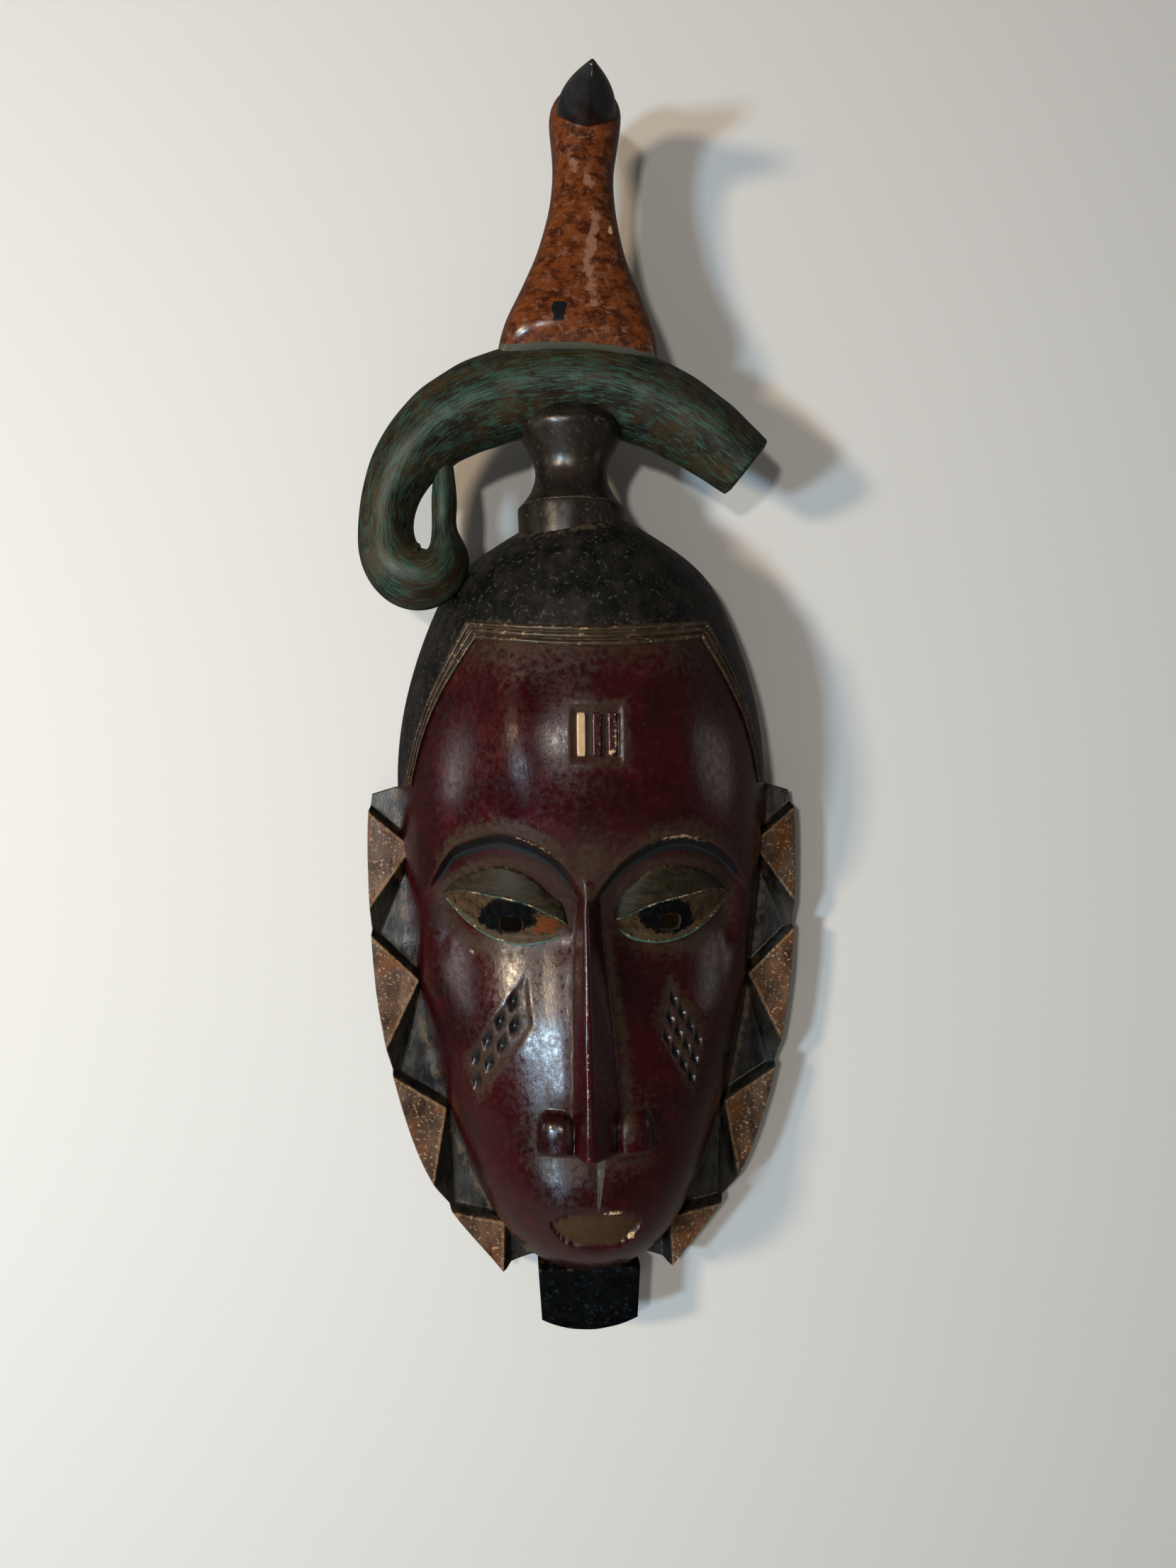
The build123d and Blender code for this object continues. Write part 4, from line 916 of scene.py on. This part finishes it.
def flange_paint(f):
    """Rubbed orange-brown on the pads, blue-black between them, with tan wear on the edges."""
    streak = f.noise(7, stretch=(1, 1, 2.6), detail=7, roughness=0.68)
    pads = f.mix(f.between(streak, 0.36, 0.64), (0.028, 0.015, 0.010), (0.135, 0.073, 0.041))
    pads = f.mix(f.cloud(13, 0.50, 0.64, 0, 0.8, offset=2.0), pads, (0.165, 0.056, 0.015))
    f.colour = f.mix(f.between(streak, 0.40, 0.66), (0.0045, 0.0048, 0.0052), (0.045, 0.038, 0.029))
    f.lay(f.ragged("pad", 2.4, 0.4), pads)
    f.lay(f.ragged("worn", 2.0, 0.6, offset=1.0), (0.20, 0.115, 0.052))
    flecks = f.cloud(1.5, 0.57, 0.62, offset=6.0, detail=5, roughness=0.7)
    f.lay(f.times(flecks, f.mark("pad")), (0.40, 0.25, 0.15))
    f.lay(f.times(f.ragged("dust", 3.0, 0.5), 0.8), (0.10, 0.068, 0.036))
    bare = f.mark("bare")
    f.lay(bare, f.raw_wood())
    rough = f.cloud(6, 0.36, 0.64, 0.16, 0.46, stretch=(1, 1, 2), detail=6, offset=4.0)
    grain = f.noise(2.0, stretch=(1, 1, 3), detail=8, roughness=0.7)
    return f.done(f.plus(rough, f.times(bare, 0.3)), grain, 0.24, f.between(f.mark("pad"), 0, 1, 0.50, 0.20))


# ---- Chin post and crest -----------------------------------------------------------------------
CREST_X, CREST_DEPTH, HORN_DEPTH = -4.7, 40.0, 42.0
CHIN_HALF, CHIN_FOOT_HALF, CHIN_FOOT_Z, CHIN_BOW = 20.5, 19.25, -8.0, 4.5
CHIN_FRONT, CHIN_EDGE = 28.0, 1.2


def chin_post():
    """A tapered block under the chin: its outline, with the foot bowed down, carried forwards
    from the wall and drawn in at the front edge."""
    side = np.linspace(0, 1, 13)
    taper, fall = CHIN_HALF - CHIN_FOOT_HALF, CHIN_Z - CHIN_FOOT_Z
    foot_x = np.linspace(-CHIN_FOOT_HALF, CHIN_FOOT_HALF, 41)
    foot_z = CHIN_FOOT_Z - CHIN_BOW * (1 - (foot_x / CHIN_FOOT_HALF) ** 2)
    top_x = np.linspace(CHIN_HALF, -CHIN_HALF, 41)[1:-1]
    x = np.concatenate([-CHIN_HALF + taper * side[:-1], foot_x, CHIN_FOOT_HALF + taper * side[1:], top_x])
    z = np.concatenate([CHIN_Z - fall * side[:-1], foot_z, CHIN_FOOT_Z + fall * side[1:],
                        np.full(len(top_x), CHIN_Z)])
    edge_start = CHIN_FRONT - CHIN_EDGE
    edge = CHIN_FRONT - CHIN_EDGE * (1 - np.sin(np.linspace(0.15, 1, 8) * np.pi / 2))
    t = np.concatenate([np.linspace(0, edge_start, 20), edge])[:, None]
    rounding = np.clip((t - edge_start) / CHIN_EDGE, 0, 1)
    inset = CHIN_EDGE * (1 - np.sqrt(np.clip(1 - rounding**2, 0, 1)))
    wavy = 0.2 * hand_cut(x[None] + t, z[None], 12, 41) * ease(t, 20, 27)
    points, polygons = stacked(place(x * (1 - inset / CHIN_HALF), t + wavy, z * (1 - inset / CHIN_Z)))
    finish = worn_wood("black_paint", (0.0005, 0.0007, 0.0010), (0.0035, 0.0046, 0.0060),
                       (0.011, 0.015, 0.017), 6, (1.6, 1, 1), (0.50, 0.70), 0.12, 0.04)
    marks = {"bare": (points[:, 1] > -0.5) * 1.0, "dust": 0.4 * hump(points[:, 2], CHIN_Z, 1.5)}
    piece("chin_block", points, polygons, marks, "chin_post", finish)


def crest_post():
    """The turned spool, its profile carried round an upright line."""
    stops = range(11)
    radius = smooth_curve(stops, (20.6, 20.9, 20.2, 17.2, 14.6, 14.1, 15.6, 18.6, 20.4, 19.2, 14.5))
    rise = smooth_curve(stops, (-14.0, 3.0, 6.5, 10.5, 15.5, 20.5, 26.0, 31.5, 35.6, 39.4, 44.0))
    t, angle = np.linspace(0, 10, 121)[:, None], around(128)
    r = radius(t) + 0.22 * hand_cut(angle * 14, t * 5, 12, 51) - 0.5 * hump(t, 1.75, 0.12)
    rings = place(CREST_X + r * np.cos(angle), CREST_DEPTH + r * np.sin(angle), TOP_Z + rise(t))
    points, polygons = stacked(rings)
    marks = on_rings({"dust": np.maximum(0.6 * hump(t, 1.9, 0.35), 0.45 * hump(t, 8.2, 0.25))}, rings)
    finish = worn_wood("dark_brown_polish", (0.006, 0.0045, 0.0035), (0.022, 0.014, 0.009),
                       (0.055, 0.040, 0.03), 7, (1, 1, 1.5), (0.22, 0.40), 0.07)
    piece("spool", points, polygons, marks, "crest_post", finish)


# The horn's middle line: x, height over the head's top, and thickness.
HORN_LINE = ((64.5, 22.0, 26.0), (43.5, 38.0, 31.5), (20.0, 49.5, 34.5), (-5.0, 53.5, 35.5),
             (-30.0, 49.5, 35.0), (-54.5, 38.0, 31.0), (-70.5, 20.0, 24.5), (-76.25, -4.0, 21.5),
             (-73.2, -14.9, 24.5), (-62.3, -20.2, 26.0), (-53.5, -12.8, 18.5), (-53.85, -4.0, 10.5),
             (-54.0, 7.0, 9.8), (-54.0, 17.0, 8.6), (-54.0, 27.0, 6.5))
HORN_SQUARENESS = 2.7


def horn_section(angle):
    """A soft square set on edge: its reach forwards and outwards at angles round the horn."""
    u, v = squarish(angle, HORN_SQUARENESS), squarish(angle - np.pi / 2, HORN_SQUARENESS)
    return (u + v) / math.sqrt(2), (v - u) / math.sqrt(2)


def horn_half(thick):
    """Half size of the horn's soft square for a thickness from corner to corner."""
    return thick / 2 * 2 ** (1 / HORN_SQUARENESS) / math.sqrt(2)


def horn():
    """The curled horn: its section carried along the curve from the blunt end over the post and
    round the curl to its tip. Towards the curl's middle the section stops short of the point
    about which the line turns, so that it doesn't fold."""
    knots = np.array(HORN_LINE)
    run = np.concatenate([[0], np.cumsum(np.hypot(*np.diff(knots[:, :2], axis=0).T))])
    s = np.linspace(0, run[-1], 421)
    x, rise, thick = smooth_curve(run, knots)(s).T
    tangent = np.gradient(np.stack([x, rise], 1), s, axis=0)
    tangent = tangent / np.hypot(*tangent.T)[:, None]
    turning = np.gradient(np.unwrap(np.arctan2(tangent[:, 1], tangent[:, 0])), s)[:, None]
    angle, half, s = around(96), horn_half(thick)[:, None], s[:, None]
    front, out = horn_section(angle)
    waves = 1 + 0.012 * hand_cut(s, angle * 18, 16, 61)
    front, out = half * front * waves, half * out * waves
    room = 0.9 / np.maximum(np.abs(turning), 1e-6)
    out = np.where(out * turning > 0, np.sign(out) * np.minimum(np.abs(out), room), out)
    ends = np.sqrt(np.clip(1 - np.clip(1 - s / 1.0, 0, 1) ** 2 * 0.35, 0, 1))
    rings = place(x[:, None] + out * ends * -tangent[:, 1:], HORN_DEPTH + front * ends,
                  TOP_Z + rise[:, None] + out * ends * tangent[:, :1])
    points, polygons = stacked(rings)
    ridge = hump(front / half, 1.12, 0.10) * ease(s, 8, 20)
    marks = {"ridge": np.clip(0.65 * ridge + 0.4 * hump(s, 0.5, 1.0) + 0.3 * ease(s, 215, 250), 0, 1),
             "along": s / run[-1], "round": np.abs((angle - np.pi) / np.pi)}
    piece("horn", points, polygons, on_rings(marks, rings), "curled_horn", horn_paint())


def horn_paint():
    """Dark brown under worn green paint that clings in streaks along the horn."""
    f = Finish("verdigris_paint")
    lengthwise = f.tree.nodes.new("ShaderNodeCombineXYZ")
    f.feed(lengthwise.inputs[0], f.mark("along"))
    f.feed(lengthwise.inputs[1], f.mark("round"))
    plain_spot, f.spot = f.spot, lengthwise.outputs[0]
    streak = f.noise(1000, stretch=(0.030, 0.075, 1), detail=7, roughness=0.7)
    fine = f.noise(1000, stretch=(0.026, 0.015, 1), detail=6, roughness=0.7, offset=0.3)
    f.spot = plain_spot
    green = f.mix(f.noise(10, offset=4.0), (0.010, 0.032, 0.024), (0.050, 0.125, 0.092))
    lift = f.times(f.mark("ridge"), 0.07)
    f.colour = f.mix(f.cloud(12, 0.38, 0.64, detail=7), (0.007, 0.005, 0.003), (0.044, 0.026, 0.009))
    f.lay(f.between(f.plus(streak, lift), 0.50, 0.64, 0, 0.5), green)
    f.lay(f.between(f.plus(fine, lift), 0.53, 0.60, 0, 0.9), green)
    f.lay(f.times(f.between(fine, 0.36, 0.44, 1, 0), 0.6), (0.020, 0.012, 0.006))
    return f.done(f.cloud(5, 0.3, 0.7, 0.30, 0.5, detail=6), fine, 0.12, 0.28)


# ---- Bird --------------------------------------------------------------------------------------
HORN_TOP_Z = 378.75
BIRD_FOOT_X, BIRD_HEAD_X = -1.8, 1.8
NECK_TOP, HEAD_TOP, BEAK_RISE = 90, 98, 82
# Each ring of the bird: height over the horn, half width and half depth.
BIRD = ((-12, 31.5, 8), (-3, 30.5, 16.5), (14, 24.5, 16), (30, 17.8, 14), (51, 12.8, 12.5), (66, 12, 12),
        (82, 13.8, 14.5), (93, 10.5, 11.5), (98, 4, 4.5))


def horn_surface(x, depth):
    """Height of the horn's upper surface under the bird: its middle line's height and half
    thickness at x, with the upper edge of its square section falling off to the front."""
    knots = np.array(HORN_LINE[1:6])[::-1]
    rise, thick = np.moveaxis(smooth_curve(knots[:, 0], knots[:, 1:])(x), -1, 0)
    half = horn_half(thick)
    front, up = horn_section(np.linspace(np.pi / 4, 3 * np.pi / 4, 60))
    return TOP_Z + rise + half * np.interp(np.abs(depth - HORN_DEPTH) / half, front[::-1], up[::-1])


def bird():
    """Breast, neck and head as rings whose half widths follow a curve up the bird."""
    crown = NECK_TOP + (HEAD_TOP - NECK_TOP) * np.sin(np.linspace(0, 1, 26)[1:] * np.pi / 2)
    r = np.concatenate([np.linspace(-9, NECK_TOP, 170), crown])[:, None]
    half, deep = np.moveaxis(smooth_curve([b[0] for b in BIRD], [b[1:] for b in BIRD])(r), -1, 0)
    angle, power = around(112), 2 / np.interp(r, (-9, 20, 60, HEAD_TOP), (3.2, 2.9, 2.4, 2.1))
    u, v = powered(np.cos(angle), power), powered(np.sin(angle), power)
    middle = BIRD_FOOT_X + (BIRD_HEAD_X - BIRD_FOOT_X) * np.clip(r, -12, HEAD_TOP) / BEAK_RISE
    wave = 1 + 0.008 * hand_cut(angle * 12, r, 18, 71)
    x, depth = middle + half * u * wave, HORN_DEPTH + deep * v * wave
    rings = place(x, depth, HORN_TOP_Z + r)
    points, polygons = stacked(rings)
    across, front = x - middle, v > 0
    strip = hump(across, 3.5 + 1.0 * np.sin(r / 5), 2.4) * ease(r, 4, 8) * ease(r, 52, 40) * front
    patch = hump(across, -4.0, 2.6) * hump(r, 62, 3.5) + hump(across, 1.8, 2.8) * hump(r, 56, 4) * front
    marks = {
        "pale": 0.8 * strip + 0.75 * patch,
        "black": ease(x, -12.8, -11.8) * ease(x, -7.2, -8.2) * ease(r, 0, 1.5) * ease(r, 9, 7.5) * front,
        "base": ease(HORN_TOP_Z + r - horn_surface(x, depth), 4.2, 3.2),
        "chip": hump(across, 10.6, 1.0) * hump(r, 38, 2.0) * front,
        "side": ease(np.abs(u), 0.8, 0.97),
    }
    piece("bird", points, polygons, on_rings(marks, rings), "bird_body", bird_paint())


def bird_paint():
    """Red-brown lacquer worn through in flecks to an orange and a pinkish brown."""
    f = Finish("red_brown_lacquer")
    flecks = f.cloud(3.6, 0.42, 0.56, stretch=(1.6, 1.6, 1), detail=8, roughness=0.72)
    f.colour = f.mix(flecks, (0.040, 0.0085, 0.0022), (0.150, 0.036, 0.007))
    f.lay(f.cloud(2.6, 0.54, 0.61, 0, 0.85, stretch=(1.3, 1, 1), offset=3.0, detail=6, roughness=0.7),
          (0.170, 0.074, 0.042))
    f.lay(f.cloud(3.2, 0.58, 0.66, 0, 0.85, offset=8.0, detail=7, roughness=0.7), (0.030, 0.008, 0.005))
    f.lay(f.times(f.mark("side"), 0.45), (0.085, 0.034, 0.028))
    f.lay(f.ragged("pale", 3.0, 0.5), (0.235, 0.110, 0.068))
    f.lay(f.ragged("black", 2.0, 0.4), BLACK)
    f.lay(f.ragged("base", 2.0, 0.3, offset=2.0), (0.070, 0.072, 0.052))
    f.lay(f.ragged("chip", 1.5, 0.4, offset=1.0), CREAM)
    return f.done(f.cloud(5, 0.3, 0.7, 0.16, 0.30, detail=5, offset=2.0), f.noise(2.2, detail=6), 0.05, 0.38)


def beak():
    """The beak: cross sections from the head to the tip, rounded above, with cheeks that run out
    to a keel below."""
    t, angle = np.linspace(0, 1, 61)[:, None], around(72)
    half = smooth_curve((0, 0.25, 0.6, 0.9, 1), (11.5, 10.9, 7.4, 2.6, 0.9))(t)
    above = smooth_curve((0, 0.3, 0.6, 0.9, 1), (9.0, 8.6, 6.2, 2.6, 1.2))(t)
    below = smooth_curve((0, 0.25, 0.6, 0.9, 1), (8.2, 7.6, 5.2, 2.2, 1.2))(t)
    c, s = np.cos(angle), np.sin(angle)
    u = np.where(s >= 0, powered(c, 0.9), powered(c, 1.45))
    v = np.where(s >= 0, above, below) * s
    rings = place(BIRD_HEAD_X + half * u, 46.5 + 40 * t, HORN_TOP_Z + BEAK_RISE + 2.3 - 3.0 * t + v)
    points, polygons = stacked(rings)
    keel = hump(c, 0, 0.14) * (s < 0) * ease(t, 0.35, 0.6)
    # A thin line along each side, where upper and lower beak meet, goes into the dust mark and is laid
    # near-black: painted shade of the mouth groove.
    line = hump(s, -0.16, 0.07) * ease(t, 0.2, 0.35)
    marks = {"chip": 0.62 * keel * ease(hand_cut(t * 40, 0 * c, 9, 4), -0.1, 0.5), "dust": 0.5 * line}
    f = Finish("black_lacquer")
    f.colour = f.mix(f.cloud(8, 0.4, 0.7, detail=5), (0.008, 0.008, 0.009), (0.028, 0.028, 0.030))
    # Painted shade: the mouth groove's line, near-black on the black lacquer.
    f.lay(f.times(f.mark("dust"), 0.7), (0.002, 0.002, 0.002))
    f.lay(f.ragged("chip", 2.0, 0.4), CREAM)
    finish = f.done(f.cloud(6, 0.3, 0.7, 0.14, 0.26), f.noise(3, detail=4), 0.04)
    piece("beak", points, polygons, on_rings(marks, rings), "bird_beak", finish)


# ---- Camera, light and stage -------------------------------------------------------------------
STAGE_REACH, FLOOR_Z, WALL_Y = 3, -0.45, 0.0015


def flat_piece(name, corners, colour):
    """One flat sheet of the stage in a plain dull colour, and its material."""
    material = bpy.data.materials.new("pale_" + name)
    material.use_nodes = True
    shader = material.node_tree.nodes["Principled BSDF"]
    shader.inputs["Base Color"].default_value = (*colour, 1)
    shader.inputs["Roughness"].default_value = 0.9
    mesh = bpy.data.meshes.new(name)
    mesh.from_pydata(corners, [], [(0, 1, 2, 3)])
    mesh.materials.append(material)
    show(bpy.data.objects.new(name, mesh))
    return material.node_tree


def stage():
    """The wall behind the mask and a floor below it, both pale and plain. The wall's front is
    seen and takes shadows; from behind, and for all light but what the eye sees, it is clear."""
    reach = STAGE_REACH
    flat_piece("floor", [(-reach, -4, FLOOR_Z), (reach, -4, FLOOR_Z), (reach, reach, FLOOR_Z),
                         (-reach, reach, FLOOR_Z)], (0.62, 0.61, 0.59))
    tree = flat_piece("wall", [(-reach, WALL_Y, FLOOR_Z), (reach, WALL_Y, FLOOR_Z), (reach, WALL_Y, reach),
                               (-reach, WALL_Y, reach)], (0.74, 0.73, 0.71))
    nodes, link = tree.nodes, tree.links.new
    shader = nodes["Principled BSDF"]
    shader.inputs["Specular IOR Level"].default_value = 0.1
    clear, mixed = nodes.new("ShaderNodeBsdfTransparent"), nodes.new("ShaderNodeMixShader")
    side, rays = nodes.new("ShaderNodeNewGeometry"), nodes.new("ShaderNodeLightPath")
    seen, front = nodes.new("ShaderNodeMath"), nodes.new("ShaderNodeMath")
    front.operation, seen.operation = "SUBTRACT", "MULTIPLY"
    front.inputs[0].default_value = 1.0
    link(side.outputs["Backfacing"], front.inputs[1])
    link(rays.outputs["Is Camera Ray"], seen.inputs[0])
    link(front.outputs[0], seen.inputs[1])
    for source, target in zip((seen, clear, shader), mixed.inputs):
        link(source.outputs[0], target)
    link(mixed.outputs[0], nodes["Material Output"].inputs["Surface"])


AIM = Vector((0, -0.04, 0.18))
# Each lamp: its place, size in metres, power in watts and colour.
LAMPS = {
    "warm_lamp": ((-0.84, -0.88, 0.34), 0.12, 7.0, (1.0, 0.78, 0.54)),
    "cool_lamp": ((-0.78, -1.02, 0.08), 0.12, 8.0, (0.58, 0.81, 1.0)),
    "front_lamp": ((-0.28, -1.05, 0.30), 0.06, 3.0, (1.0, 0.95, 0.88)),
    "left_panel": ((-1.3, -0.06, 0.20), 0.34, 1.3, (1.0, 0.93, 0.96)),
    "right_panel": ((1.3, -0.06, 0.20), 0.4, 0.5, (1.0, 0.93, 0.92)),
}


def lights():
    """A warm and a cool lamp up on the left, a small front lamp, a dim soft panel on each side
    and an even dim surround."""
    for name, (spot, size, power, colour) in LAMPS.items():
        light = bpy.data.lights.new(name, "AREA")
        light.size, light.energy, light.color = size, power, colour
        thing = show(bpy.data.objects.new(name, light))
        thing.location = spot
        thing.rotation_mode = "QUATERNION"
        thing.rotation_quaternion = (AIM - Vector(spot)).to_track_quat("-Z", "Y")
    world = bpy.data.worlds.new("surround")
    world.use_nodes = True
    world.node_tree.nodes["Background"].inputs["Color"].default_value = (1.0, 0.93, 0.84, 1)
    world.node_tree.nodes["Background"].inputs["Strength"].default_value = 0.09
    bpy.context.scene.world = world


VIEW_SPOT, VIEW_TURN, VIEW_LEAN = (-0.0291, -0.4992, 0.2065), math.radians(3.7), math.radians(0.6)
SENSOR_WIDTH, LENS = 36, 27.05


def camera():
    """The viewing angle: level with the temples, a little from the left, turned 3.7 degrees."""
    view = Vector((math.sin(VIEW_TURN), math.cos(VIEW_TURN), 0))
    right = Vector((math.cos(VIEW_TURN), -math.sin(VIEW_TURN), 0))
    up = right * math.sin(VIEW_LEAN) + Vector((0, 0, 1)) * math.cos(VIEW_LEAN)
    data = bpy.data.cameras.new("camera")
    data.sensor_width, data.lens, data.clip_start = SENSOR_WIDTH, LENS, 0.01
    thing = show(bpy.data.objects.new("camera", data))
    thing.rotation_mode = "QUATERNION"
    thing.rotation_quaternion = Matrix(np.array([view.cross(up), up, -view]).T.tolist()).to_quaternion()
    thing.location = VIEW_SPOT
    bpy.context.scene.camera = thing


bpy.context.scene.view_settings.view_transform = "Standard"
face()
cap()
band()
forehead_bars()
eye(-1, "left_eye")
eye(1, "right_eye")
flange(-1, "left_flange", "left_side_flange")
flange(1, "right_flange", "right_side_flange")
chin_post()
crest_post()
horn()
bird()
beak()
rods()
stage()
lights()
camera()
